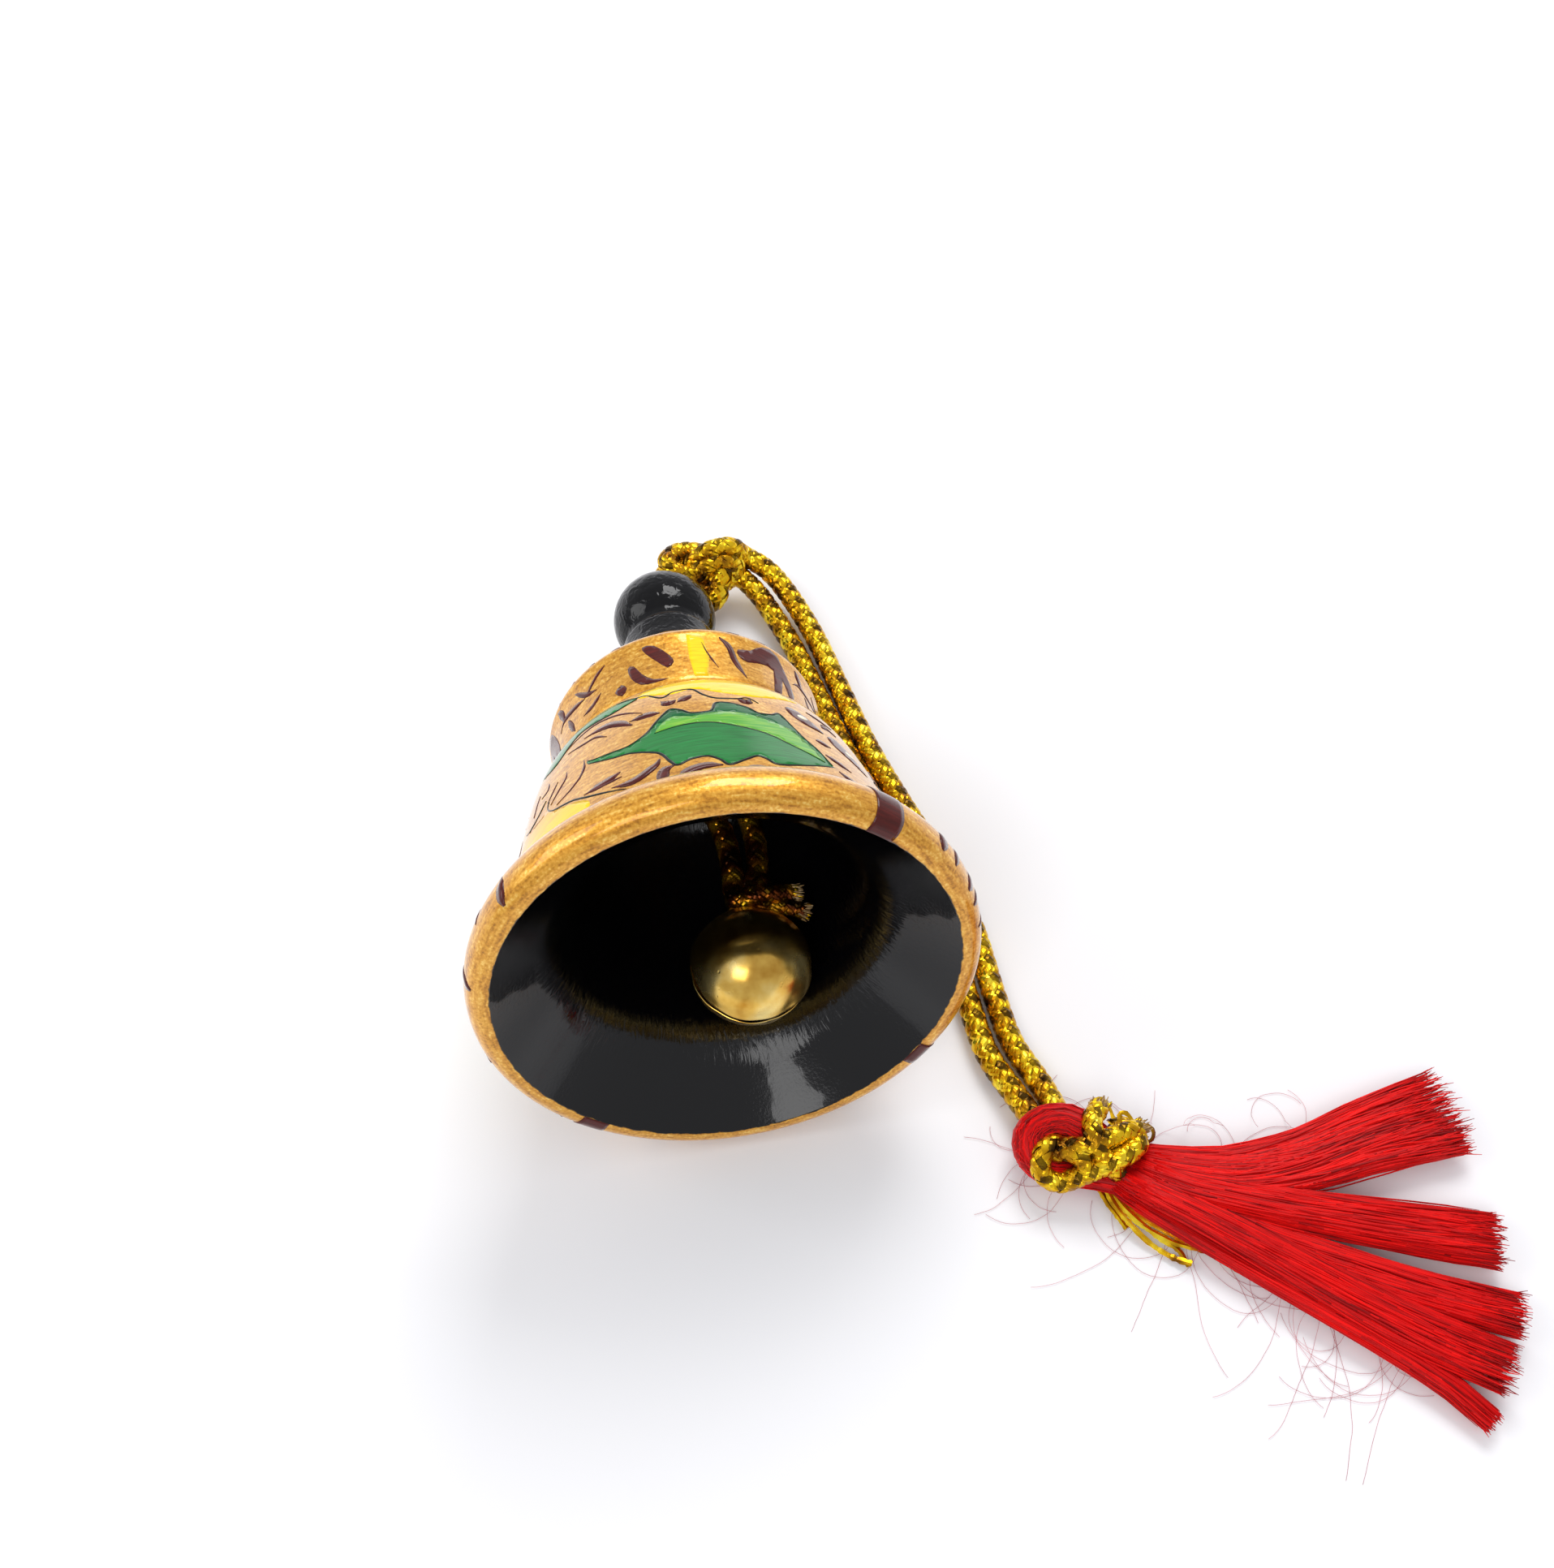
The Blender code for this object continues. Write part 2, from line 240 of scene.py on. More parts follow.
lightSet = {
    "overhead": {"place": (0.16, 0.34, 0.46), "aim": (0.0, 0.0, 0.02), "size": (0.30, 0.24), "watts": 1.9},
    "leftFill": {"place": (-0.50, 0.10, 0.34), "aim": (0, 0, 0.02), "size": (0.30, 0.30), "watts": 0.9},
    "front": {"place": (-0.25, -0.42, 0.62), "aim": (0, 0, 0.02), "size": (0.34, 0.34), "watts": 1.3},
}
for name, s in lightSet.items():
    lamp = bpy.data.lights.new(name, "AREA")
    lamp.shape = "RECTANGLE"
    lamp.size, lamp.size_y = s["size"]
    lamp.energy = s["watts"]
    ob = bpy.data.objects.new(name, lamp)
    ob.location = s["place"]
    ob.rotation_euler = (Vector(s["aim"]) - ob.location).to_track_quat("-Z", "Y").to_euler()
    bpy.context.scene.collection.objects.link(ob)

world = bpy.data.worlds.new("studio")
world.use_nodes = True
world.node_tree.nodes["Background"].inputs[0].default_value = (0.96, 0.965, 1.0, 1)
world.node_tree.nodes["Background"].inputs[1].default_value = 0.62
bpy.context.scene.world = world
bpy.context.scene.view_settings.view_transform = "Standard"
bpy.context.scene.view_settings.exposure = 0.0

deselect()
bpy.ops.mesh.primitive_plane_add(size=3.0, location=(0, 0, -0.0001))
floor = bpy.context.object
floor.name = "floor"
paper, tree, shader = startMaterial("whiteCard")
setInputs(tree, shader, {"Base Color": hexColour("F4F4F6"), "Roughness": 0.9})
floor.data.materials.append(paper)
print("camera, lights and floor are set")


# the cord
cordSet = {"diameter": 2.7, "carriers": 6, "foilWidth": 0.98, "foilThick": 0.10, "rise": 0.13, "lay": 6.6}


def goldFoil(name, stops):
    # lurex: slit metallised film, so flat mirror-like strips with small creases
    m, t, s, where, tone = driftingColour(name, 420.0, stops)
    crease = addNode(t, "ShaderNodeTexVoronoi", {"Vector": where, "Scale": 1500.0})
    bump = addNode(t, "ShaderNodeBump", {"Height": crease.outputs["Distance"], "Strength": 0.07,
                                         "Distance": 0.0001})
    setInputs(t, s, {"Normal": bump.outputs[0], "Metallic": 0.9, "Roughness": 0.24})
    return m


def coreThread():
    # dull viscose core that shows between the foil strips
    browns = [(0.35, "2A1206"), (0.55, "5A3010"), (0.75, "8A5A24")]
    m, t, s, where, tone = driftingColour("brownCoreThread", 900.0, browns, 3.0)
    bump = addNode(t, "ShaderNodeBump", {"Height": tone, "Strength": 0.6, "Distance": 0.0001})
    setInputs(t, s, {"Normal": bump.outputs[0], "Roughness": 0.7})
    return m


foilMat = goldFoil("goldLurexFoil", [(0.32, "7A4C0A"), (0.44, "C48E10"), (0.56, "EDBE18"), (0.72, "FFE23C")])
# a duller foil for every other left-hand strip; then the same cord inside the bell, painted darker and redder
# as painted shade of the bell's hollow
oliveFoil = goldFoil("oliveLurexFoil", [(0.32, "2E1C06"), (0.46, "5E4208"), (0.58, "8A6A0C"),
                                        (0.74, "C09A14")])
hollowShadeFoil = goldFoil("hollowShadeLurexFoil", [(0.36, "1C0E04"), (0.47, "5E2A08"), (0.56, "A86A10"),
                                           (0.68, "F0B828")])
coreMat = coreThread()


def braid(name, route, radius=cordSet["diameter"] / 2, step=0.19, foil=foilMat):
    # a round braid of flat foil over a core, along a route in mm
    line = evenly([Vector(p) for p in route], step)
    frames = carriedFrames(line)
    verts, faces, which = [], [], []
    count = cordSet["carriers"]
    w, h, a = cordSet["foilWidth"] / 2, cordSet["foilThick"] / 2, cordSet["rise"]
    full = cordSet["diameter"] / 2
    scale = radius / full
    mid = (full - a - h) * scale
    turn = math.tau / (cordSet["lay"] * scale)
    # core: a plain tube just under the strips
    ring = 10
    coreRadius = mid - 0.10 * scale
    for p, (t, n, b) in zip(line, frames):
        for k in range(ring):
            q = math.tau * k / ring
            verts.append((p + (n * math.cos(q) + b * math.sin(q)) * coreRadius) * mm)
    faces += tubeFaces(0, len(line), ring)
    which += [1] * len(faces)
    for way in (1, -1):
        for k in range(count):
            start = len(verts)
            kind = 2 if way < 0 and k % 2 else 0      # every other left-hand strip is duller
            for i, (p, (t, n, b)) in enumerate(zip(line, frames)):
                along = i * step
                q = way * turn * along + math.tau * k / count
                wave = math.cos(count / 2 * turn * along - math.pi / 4)
                wave = max(-1.0, min(1.0, 1.6 * wave))
                r = mid + way * a * scale * wave
                out = n * math.cos(q) + b * math.sin(q)
                around = b * math.cos(q) - n * math.sin(q)
                run = (t + around * way * turn * mid).normalized()
                side = out.cross(run).normalized()
                # each strip is turned down at its two edges, as it bends round the core
                for u, v in ((-1, -0.8), (-0.45, 0.55), (0.45, 0.55), (1, -0.8)):
                    verts.append((p + out * (r + v * h * 2 * scale) + side * (u * w * scale)) * mm)
            faces += tubeFaces(start, len(line), 4)
            which += [kind] * (len(faces) - len(which))
    ob = meshObject(name, verts, faces, [foil, coreMat, oliveFoil], which)
    outwardFaces(ob)
    ob.data.polygons.foreach_set("use_smooth", [m == 1 for m in which])
    return ob, [p * mm for p in line]


# the route points are the solids' own, in mm
loopRoutes = {
    "loopStrandOuter": [(14.4, 38.3, 4.2), (16.6, 34.8, 3.0), (18.9, 28.4, 1.9), (20.6, 20.0, 1.6),
                        (22.4, 11.0, 1.5), (24.6, 3.0, 1.45), (27.4, -6.0, 1.4), (29.4, -15.0, 1.4),
                        (29.9, -24.0, 1.4), (30.5, -30.0, 1.4), (32.3, -35.4, 1.8)],
    "loopStrandInner": [(12.4, 36.2, 3.0), (14.1, 32.8, 2.1), (16.0, 27.2, 1.5), (17.7, 19.6, 1.4),
                        (19.5, 11.2, 1.4), (21.6, 3.4, 1.4), (24.4, -5.6, 1.4), (26.4, -14.8, 1.4),
                        (26.9, -24.4, 1.4), (27.5, -30.8, 1.4), (29.4, -36.3, 1.8)],
}
headIn = {"loopStrandOuter": (33.0, -39.4, 2.9), "loopStrandInner": (30.6, -40.2, 2.9)}
knotOut = {"loopStrandOuter": (11.4, 40.4, 5.4), "loopStrandInner": (9.6, 39.6, 4.2)}
loopNodes = {"loopStrandOuter": "loop_strand_outer", "loopStrandInner": "loop_strand_inner"}
loopCords = {}
for name, route in loopRoutes.items():
    path = smoothLine([knotOut[name]] + route + [headIn[name]], 10)
    ob, line = braid(name, path)
    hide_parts(loopNodes[name])
    loopCords[name] = (ob, line)
print("hanging loop is braided")


# turned and painted wood
bellSet = {
    # radius and distance behind the mouth plane, mm
    "outside": [(22.7, 0.0), (23.7, 0.05), (24.5, 0.55), (24.92, 1.5), (25.0, 2.66), (24.62, 3.8),
                (23.9, 4.8), (22.9, 5.6), (22.0, 6.1), (21.6, 6.5), (21.3, 7.6), (20.9, 9.8),
                (20.3, 12.6), (19.6, 16.0), (18.95, 19.2), (18.25, 22.2), (17.45, 24.8),
                (16.6, 26.7), (15.8, 27.8), (14.9, 28.3), (14.4, 28.7), (14.4, 29.2),
                (14.75, 29.8), (14.85, 31.6), (14.9, 33.6), (15.05, 35.4), (15.2, 36.3),
                (15.3, 37.0), (15.1, 37.6), (14.5, 38.4), (13.4, 39.3), (11.9, 40.6),
                (10.3, 42.3), (8.8, 44.5), (7.5, 46.8), (6.6, 48.6), (6.1, 50.0)],
    "bore": [(4.75, 50.0), (4.75, 44.0), (3.25, 44.0), (3.25, 33.8), (3.9, 33.0)],
    "hollow": [(3.9, 33.0), (7.6, 31.6), (9.8, 29.0), (11.4, 25.5), (12.5, 21.5), (13.5, 16.5),
               (14.3, 12.0), (15.0, 9.2), (16.0, 7.0), (17.4, 5.1), (19.3, 3.3),
               (21.1, 1.6), (22.3, 0.4), (22.7, 0.0)],
    "steps": 192,
}
outsideLine = [Vector((p.x, p.y)) for p in smoothLine([(r, s, 0) for r, s in bellSet["outside"]], 4)]
hollowLine = [Vector((p.x, p.y)) for p in smoothLine([(r, s, 0) for r, s in bellSet["hollow"]], 5)]


def turnPiece(name, profile, steps):
    # a ring is extruded and scaled from point to point of a radius, depth profile
    deselect()
    r0, s0 = profile[0]
    bpy.ops.mesh.primitive_circle_add(vertices=steps, radius=r0, location=(0, 0, s0))
    ob = bpy.context.object
    ob.name = name
    bpy.ops.object.transform_apply(location=True)
    bpy.ops.object.mode_set(mode="EDIT")
    bpy.ops.mesh.select_all(action="SELECT")
    for (ra, sa), (rb, sb) in zip(profile, profile[1:]):
        bpy.ops.mesh.extrude_edges_move(TRANSFORM_OT_translate={"value": (0, 0, sb - sa)})
        if abs(rb - ra) > 1e-6:
            k = rb / ra
            bpy.ops.transform.resize(value=(k, k, 1), center_override=(0, 0, 0))
    bpy.ops.mesh.select_all(action="SELECT")
    bpy.ops.mesh.remove_doubles(threshold=0.002)
    bpy.ops.mesh.normals_make_consistent(inside=False)
    bpy.ops.object.mode_set(mode="OBJECT")
    return ob


unrolledRadius = 20.0     # mm, the belly's middle radius


def smoothTurned(ob):
    # round surfaces shade smoothly, turned edges stay crisp
    deselect()
    ob.select_set(True)
    bpy.context.view_layer.objects.active = ob
    bpy.ops.object.shade_smooth_by_angle(angle=math.radians(50))


def layUnrolled(ob, profile):
    # UV: mm round the piece and mm along its profile, which starts at its first point
    me = ob.data
    arcs = [0.0]
    for a, b in zip(profile, profile[1:]):
        arcs.append(arcs[-1] + (Vector(b) - Vector(a)).length)
    found = {}

    def arcAt(r, s):
        key = (round(r, 2), round(s, 2))
        if key not in found:
            near = min(range(len(profile)), key=lambda i: (profile[i][0] - r) ** 2 + (profile[i][1] - s) ** 2)
            found[key] = arcs[near]
        return found[key]

    uv = me.uv_layers[0] if me.uv_layers else me.uv_layers.new(name="unrolled")
    for poly in me.polygons:
        centre = poly.center
        middle = math.atan2(centre.x, -centre.y)
        for li in poly.loop_indices:
            v = me.vertices[me.loops[li].vertex_index].co
            a = math.atan2(v.x, -v.y)
            if a - middle > math.pi:
                a -= math.tau
            if a - middle < -math.pi:
                a += math.tau
            uv.data[li].uv = (a * unrolledRadius, arcAt(math.hypot(v.x, v.y), v.z))


def toBell(ob):
    # from the turning axis in mm to its place in the frame
    ob.data.transform(bellPlace @ Matrix.Scale(mm, 4))
    ob.data.update()


wall = [(p.x, p.y) for p in hollowLine] + [(p.x, p.y) for p in outsideLine[1:]]
boreLine = [bellSet["bore"][0]]
for a, b in zip(bellSet["bore"], bellSet["bore"][1:]):
    for k in range(1, 4):
        boreLine.append((a[0] + (b[0] - a[0]) * k / 3, a[1] + (b[1] - a[1]) * k / 3))
bellProfile = wall + boreLine
bell = turnPiece("bellBody", bellProfile, bellSet["steps"])
layUnrolled(bell, bellProfile)
edgeArc = lineLength([Vector(p) for p in wall[:len(hollowLine)]])
toBell(bell)
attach(bell, "bell")
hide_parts("bell_body")


def goldAndBlackWood():
    # bronze powder paint outside, black lacquer inside, one clear glossy coat over both
    m, t, s = startMaterial("goldPaintedWood")
    where = addNode(t, "ShaderNodeTexCoord")
    obj = where.outputs["Object"]
    uv = addNode(t, "ShaderNodeSeparateXYZ", {"Vector": where.outputs["UV"]})
    # brush hairs about 0.4 mm apart make the black's edge ragged
    rag = addNode(t, "ShaderNodeTexNoise", {"Vector": obj, "Scale": 900.0, "Detail": 3.0})
    ragMm = addNode(t, "ShaderNodeMath", {0: rag.outputs["Fac"], 1: 0.5}, operation="MULTIPLY")
    arc = addNode(t, "ShaderNodeMath", {0: uv.outputs["Y"], 1: ragMm.outputs[0]}, operation="ADD")
    gold = addNode(t, "ShaderNodeMapRange", {"Value": arc.outputs[0], "From Min": edgeArc + 0.20,
                                             "From Max": edgeArc + 0.34})
    # bronze powder: 0.15 mm flakes over 3 mm cloudy strokes
    flake = addNode(t, "ShaderNodeTexNoise", {"Vector": obj, "Scale": 3200.0, "Detail": 2.0})
    stroke = addNode(t, "ShaderNodeMapping", {"Vector": where.outputs["UV"], "Rotation": (0, 0, 0.5),
                                              "Scale": (0.5, 2.2, 1)})
    cloud = addNode(t, "ShaderNodeTexNoise", {"Vector": stroke.outputs[0], "Scale": 1.0, "Detail": 5.0,
                                              "Distortion": 0.4})
    cloudPart = addNode(t, "ShaderNodeMath", {0: cloud.outputs["Fac"], 1: 0.45}, operation="MULTIPLY")
    mixed = addNode(t, "ShaderNodeMath", {0: flake.outputs["Fac"], 1: 0.36, 2: cloudPart.outputs[0]},
                    operation="MULTIPLY_ADD")
    goldTone = addNode(t, "ShaderNodeValToRGB", {"Fac": mixed.outputs[0]},
                       stops=[(0.28, "A86E18"), (0.37, "D2922C"), (0.45, "E6AA3E"), (0.56, "FFDA78")])
    base = addNode(t, "ShaderNodeMix", {"Factor": gold.outputs[0], "A": hexColour("050507"),
                                        "B": goldTone.outputs[0]}, data_type="RGBA")
    metal = addNode(t, "ShaderNodeMath", {0: gold.outputs[0], 1: 0.6}, operation="MULTIPLY")
    rough = addNode(t, "ShaderNodeMapRange", {"Value": gold.outputs[0], "To Min": 0.12, "To Max": 0.42})
    # brush ridges: long in the black cavity, fine on the gold
    ridgeMap = addNode(t, "ShaderNodeMapping", {"Vector": where.outputs["UV"], "Scale": (1.6, 0.45, 1)})
    ridge = addNode(t, "ShaderNodeTexNoise", {"Vector": ridgeMap.outputs[0], "Scale": 1.0, "Detail": 4.0,
                                              "Distortion": 0.8})
    deep = addNode(t, "ShaderNodeMapRange", {"Value": uv.outputs["Y"], "From Min": edgeArc - 6.0,
                                             "From Max": edgeArc - 9.5, "To Min": 0.05, "To Max": 1.0})
    ridgeHigh = addNode(t, "ShaderNodeMath", {0: ridge.outputs["Fac"], 1: deep.outputs[0]},
                        operation="MULTIPLY")
    grain = addNode(t, "ShaderNodeMath", {0: flake.outputs["Fac"], 1: 0.10, 2: ridgeHigh.outputs[0]},
                    operation="MULTIPLY_ADD")
    bump = addNode(t, "ShaderNodeBump", {"Height": grain.outputs[0], "Strength": 0.9, "Distance": 0.00022})
    soft = addNode(t, "ShaderNodeBump", {"Height": ridgeHigh.outputs[0], "Strength": 0.5,
                                         "Distance": 0.00018})
    setInputs(t, s, {"Base Color": base.outputs["Result"], "Metallic": metal.outputs[0],
                     "Roughness": rough.outputs[0], "Normal": bump.outputs[0],
                     "Coat Normal": soft.outputs[0], "Specular IOR Level": 0.12, "Coat Weight": 1.0,
                     "Coat IOR": 1.36, "Coat Roughness": 0.04})
    return m


bell.data.materials.append(goldAndBlackWood())
smoothTurned(bell)
print("bell body is turned")


# hand painting
def skin(s):
    # radius and outward direction of the bell's outside at a depth; below 0 on the rim's face
    if s < 0:
        return 23.7 + s, Vector((0.0, -1.0))
    for a, b in zip(outsideLine, outsideLine[1:]):
        if b.y >= s > a.y - 1e-9 and b.y > a.y:
            t = (s - a.y) / (b.y - a.y)
            d = (b - a).normalized()
            return a.x + (b.x - a.x) * t, Vector((d.y, -d.x))
    return outsideLine[-1].x, Vector((1.0, 0.0))


def onBell(angle, s, lift):
    # a point lifted off the outside, in turning mm; 0 degrees is the top, 90 is +X
    r, n = skin(s)
    q = math.radians(angle)
    rr = r + n.x * lift
    return Vector((rr * math.sin(q), -rr * math.cos(q), max(s, 0.0) + n.y * lift))


mmPerDegree = 0.34        # on the belly, so that outlines keep their shape when unrolled
paintSkin = 0.05          # how deep a film's closed back lies under the wood's surface


class Paint:
    # collects closed thin films of paint for one mesh

    def __init__(self, name, materials):
        self.name, self.materials = name, materials
        self.verts, self.faces, self.which, self.uvs = [], [], [], []

    def film(self, outline, lift, kind, smooth=3, grid=0.55):
        pts = [Vector((a * mmPerDegree, s, 0)) for a, s in outline]
        if smooth > 1:
            ring = [pts[-1]] + pts + pts[:2]
            dense = []
            for i in range(1, len(ring) - 2):
                a, b, c, d = ring[i - 1:i + 3]
                dense += [curveAt(a, b, c, d, k / smooth) for k in range(smooth)]
            pts = dense
        else:
            pts = [a.lerp(b, k / parts) for a, b in zip(pts, pts[1:] + pts[:1])
                   for parts in [max(1, int(abs(b.y - a.y) / 0.3), int(abs(b.x - a.x) / 0.6))]
                   for k in range(parts)]
        flat = [Vector((p.x, p.y)) for p in pts]
        count = len(flat)
        x0, x1 = min(p.x for p in flat), max(p.x for p in flat)
        y0, y1 = min(p.y for p in flat), max(p.y for p in flat)
        inside = []
        for i in range(1, int((x1 - x0) / grid) + 1):
            for j in range(1, int((y1 - y0) / grid) + 1):
                q = Vector((x0 + i * grid, y0 + j * grid))
                odd = False
                near = 9.0
                for a, b in zip(flat, flat[1:] + flat[:1]):
                    if (a.y > q.y) != (b.y > q.y) and q.x < a.x + (b.x - a.x) * (q.y - a.y) / (b.y - a.y):
                        odd = not odd
                    near = min(near, (a - q).length)
                if odd and near > grid * 0.45:
                    inside.append(q)
        out = delaunay_2d_cdt(flat + inside, [], [list(range(count))], 1, 1e-5)
        co, tris = out[0], out[2]
        base = len(self.verts)
        edges = {}
        for v in co:
            self.verts.append(onBell(v.x / mmPerDegree, v.y, lift))
            self.uvs.append((v.x, v.y))
        for v in co:
            self.verts.append(onBell(v.x / mmPerDegree, v.y, -paintSkin))
            self.uvs.append((v.x, v.y))
        n = len(co)
        for a, b, c in tris:
            self.faces.append((base + a, base + c, base + b))
            self.faces.append((base + n + a, base + n + b, base + n + c))
            self.which += [kind, kind]
            for e in ((a, b), (b, c), (c, a)):
                if (e[1], e[0]) in edges:
                    del edges[(e[1], e[0])]
                else:
                    edges[e] = True
        for a, b in edges:
            self.faces.append((base + a, base + b, base + n + b, base + n + a))
            self.which.append(kind)

    def stroke(self, points, width, lift, kind, tips=(0.15, 0.15), bulge=0.0):
        line = smoothLine([(a * mmPerDegree, s, 0) for a, s in points], 6)
        total = max(lineLength(line), 1e-6)
        run = 0.0
        base = len(self.verts)
        for i, p in enumerate(line):
            a = line[max(i - 1, 0)]
            b = line[min(i + 1, len(line) - 1)]
            d = (b - a).normalized()
            side = Vector((-d.y, d.x, 0))
            if i:
                run += (p - line[i - 1]).length
            u = run / total
            w = width / 2 * (1 + bulge * math.sin(math.pi * u))
            w *= min(1.0, tips[0] + (1 - tips[0]) * (u / 0.22)) if u < 0.22 else 1.0
            w *= min(1.0, tips[1] + (1 - tips[1]) * ((1 - u) / 0.3)) if u > 0.7 else 1.0
            for q, h in ((p - side * w, -0.02), (p, lift), (p + side * w, -0.02), (p, -0.06)):
                self.verts.append(onBell(q.x / mmPerDegree, q.y, h))
                self.uvs.append((q.x, q.y))
        self.faces += tubeFaces(base, len(line), 4)
        self.which += [kind] * (len(self.faces) - len(self.which))

    def dot(self, centre, size, lift, kind, stretch=1.0, sides=10):
        a0, s0 = centre
        self.film([(a0 + size * math.cos(math.tau * k / sides) * stretch / mmPerDegree,
                    s0 + size * math.sin(math.tau * k / sides)) for k in range(sides)], lift, kind, 1, 0.5)

    def done(self):
        ob = meshObject(self.name, self.verts, self.faces, self.materials, self.which)
        outwardFaces(ob, self.uvs, "brushed")
        toBell(ob)
        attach(ob, "bell")
        print(self.name, "has", len(ob.data.polygons), "faces")
        return ob


def brushed(name, stops, along=(0.35, 3.2), through=1.0, offset=0.0):
    # opaque tempera under clear lacquer, streaked by the brush; the ramp runs with depth and streaks
    m, t, s = startMaterial(name)
    where = addNode(t, "ShaderNodeTexCoord")
    streakMap = addNode(t, "ShaderNodeMapping", {"Vector": where.outputs["UV"], "Scale": (*along, 1)})
    streak = addNode(t, "ShaderNodeTexNoise", {"Vector": streakMap.outputs[0], "Scale": 1.0, "Detail": 4.0,
                                               "Distortion": 0.4})
    uv = addNode(t, "ShaderNodeSeparateXYZ", {"Vector": where.outputs["UV"]})
    depth = addNode(t, "ShaderNodeMath", {0: uv.outputs["Y"], 1: through, 2: offset},
                    operation="MULTIPLY_ADD")
    blend = addNode(t, "ShaderNodeMath", {0: streak.outputs["Fac"], 1: 0.6, 2: depth.outputs[0]},
                    operation="MULTIPLY_ADD")
    colour = addNode(t, "ShaderNodeValToRGB", {"Fac": blend.outputs[0]}, stops=stops)
    bump = addNode(t, "ShaderNodeBump", {"Height": streak.outputs["Fac"], "Strength": 0.25,
                                         "Distance": 0.0001})
    setInputs(t, s, {"Base Color": colour.outputs[0], "Normal": bump.outputs[0], "Roughness": 0.45,
                     "Specular IOR Level": 0.12, "Coat Weight": 1.0, "Coat IOR": 1.29,
                     "Coat Roughness": 0.04})
    return m


flat0 = {"through": 0.0}
leafDeep = brushed("greenTempera", [(0.10, "00561E"), (0.30, "00742A"), (0.50, "008838")], **flat0)
leafLight = brushed("limeTempera", [(0.10, "2A8A2C"), (0.28, "58A82C"), (0.48, "94C43A")], **flat0)
leafDark = brushed("bottleGreenTempera", [(0.10, "05401C"), (0.30, "085C2C"), (0.50, "0C7A3C")], **flat0)
tealPaint = brushed("tealTempera", [(0.10, "2C6E70"), (0.30, "3F8F86"), (0.50, "63A59A")], **flat0)
slatePaint = brushed("slateBlueTempera", [(0.10, "33505F"), (0.30, "4C6F80"), (0.50, "6B8B99")], **flat0)
yellowPaint = brushed("yellowTempera", [(0.10, "F0B400"), (0.30, "FAD200"), (0.50, "FFE21A")], **flat0)
petalPaint = brushed("petalTempera", [(0.10, "FBD800"), (0.42, "F8CC08"), (0.66, "F4A82C"), (0.90, "EC8A34")],
                     through=0.05, offset=-0.35)
lineInk = brushed("blackGreenInk", [(0.10, "020403"), (0.40, "08120A")], **flat0)
maroonInk = brushed("maroonInk", [(0.10, "360804"), (0.30, "4C100A"), (0.50, "66180F")], **flat0)
capPetal = brushed("capPetalTempera", [(0.10, "FBD800"), (0.35, "F8C010"), (0.60, "F49A38"),
                                       (0.90, "EA7C30")],
                   through=-0.10, offset=4.75)
creamDot = brushed("creamTempera", [(0.10, "E9DFB8"), (0.40, "F8F2DC")], **flat0)
paints = [leafDeep, leafLight, leafDark, tealPaint, slatePaint, yellowPaint, petalPaint, lineInk,
          maroonInk, creamDot, capPetal]
deepGreen, lime, bottle, teal, slate, yellow, petal, ink, maroon, cream, capFlower = range(11)

leafTop = [(-32.8, 16.9), (-29.6, 16.3), (-23.8, 15.8), (-18.8, 15.6), (-13.7, 16.7), (-10.8, 18.2),
           (-7.9, 19.6), (-5.8, 20.2), (-2.8, 19.6), (0, 18.7), (4.8, 18.7), (6.4, 19.2), (7.8, 20.4),
           (11.7, 20.4), (17, 19.6), (19.8, 18.7), (23.9, 18.8), (26.8, 19.4), (29, 17.6),
           (31.7, 15.2), (34.4, 13.6), (36.7, 11.1)]
leafLow = [(36.5, 10.8), (26.1, 9.2), (19.1, 8.6), (16.3, 9.5), (14, 9.8), (10.8, 9.1), (6.7, 8.3),
           (4.8, 9.2), (1.8, 10.1), (-2.5, 10.0), (-6, 9.4), (-7.7, 10.3), (-9.9, 12.1), (-12.8, 13.0),
           (-18.4, 14.1), (-23.2, 14.6), (-27, 15.2), (-32.2, 16.2)]
leafVein = [(-11.3, 16.2), (-2.8, 16.6), (4.0, 16.5), (9.5, 15.9), (19.3, 14.5), (25.8, 12.9), (34.3, 11.2)]
leafBand = [(-11.0, 16.3), (-2.8, 16.7), (4.0, 16.6), (9.5, 16.0), (19.3, 14.6), (26.0, 13.0),
            (34.6, 11.3), (31.0, 14.6), (28.0, 16.4), (23.0, 17.2), (16.0, 18.2), (8.0, 18.5),
            (0.0, 18.0), (-5.0, 18.6), (-8.5, 17.9)]
beltEdge = [(-15.7, 24.7), (-10.0, 24.2), (-4.5, 23.5), (0.5, 24.0), (4.5, 23.8), (10.1, 22.8),
            (18.7, 22.3), (25.0, 22.7), (31.4, 23.5), (38.3, 24.3)]
beltTop = [(38.3, 24.6), (34.9, 25.6), (24.8, 26.3), (13.0, 27.2), (3.0, 27.3), (-8.0, 26.9), (-15.7, 26.2)]
scrollLine = [(-24.5, 25.9), (-17.2, 25.2), (-13.1, 24.8), (-8.2, 23.2), (-4.4, 24), (1.6, 24),
              (4.6, 22.5), (8.2, 21.5), (14.0, 21.4), (18.4, 21.8), (21.3, 20.9)]
petalFill = [(-30.1, 8.6), (-31.2, 9.6), (-35.3, 10.7), (-43, 12.2), (-48, 14.1), (-49.2, 13.8),
             (-56.8, 14), (-61.8, 15.1), (-64, 12.0), (-62, 9.0), (-60, 6.4), (-46, 6.3), (-38, 6.4),
             (-32, 7.2)]
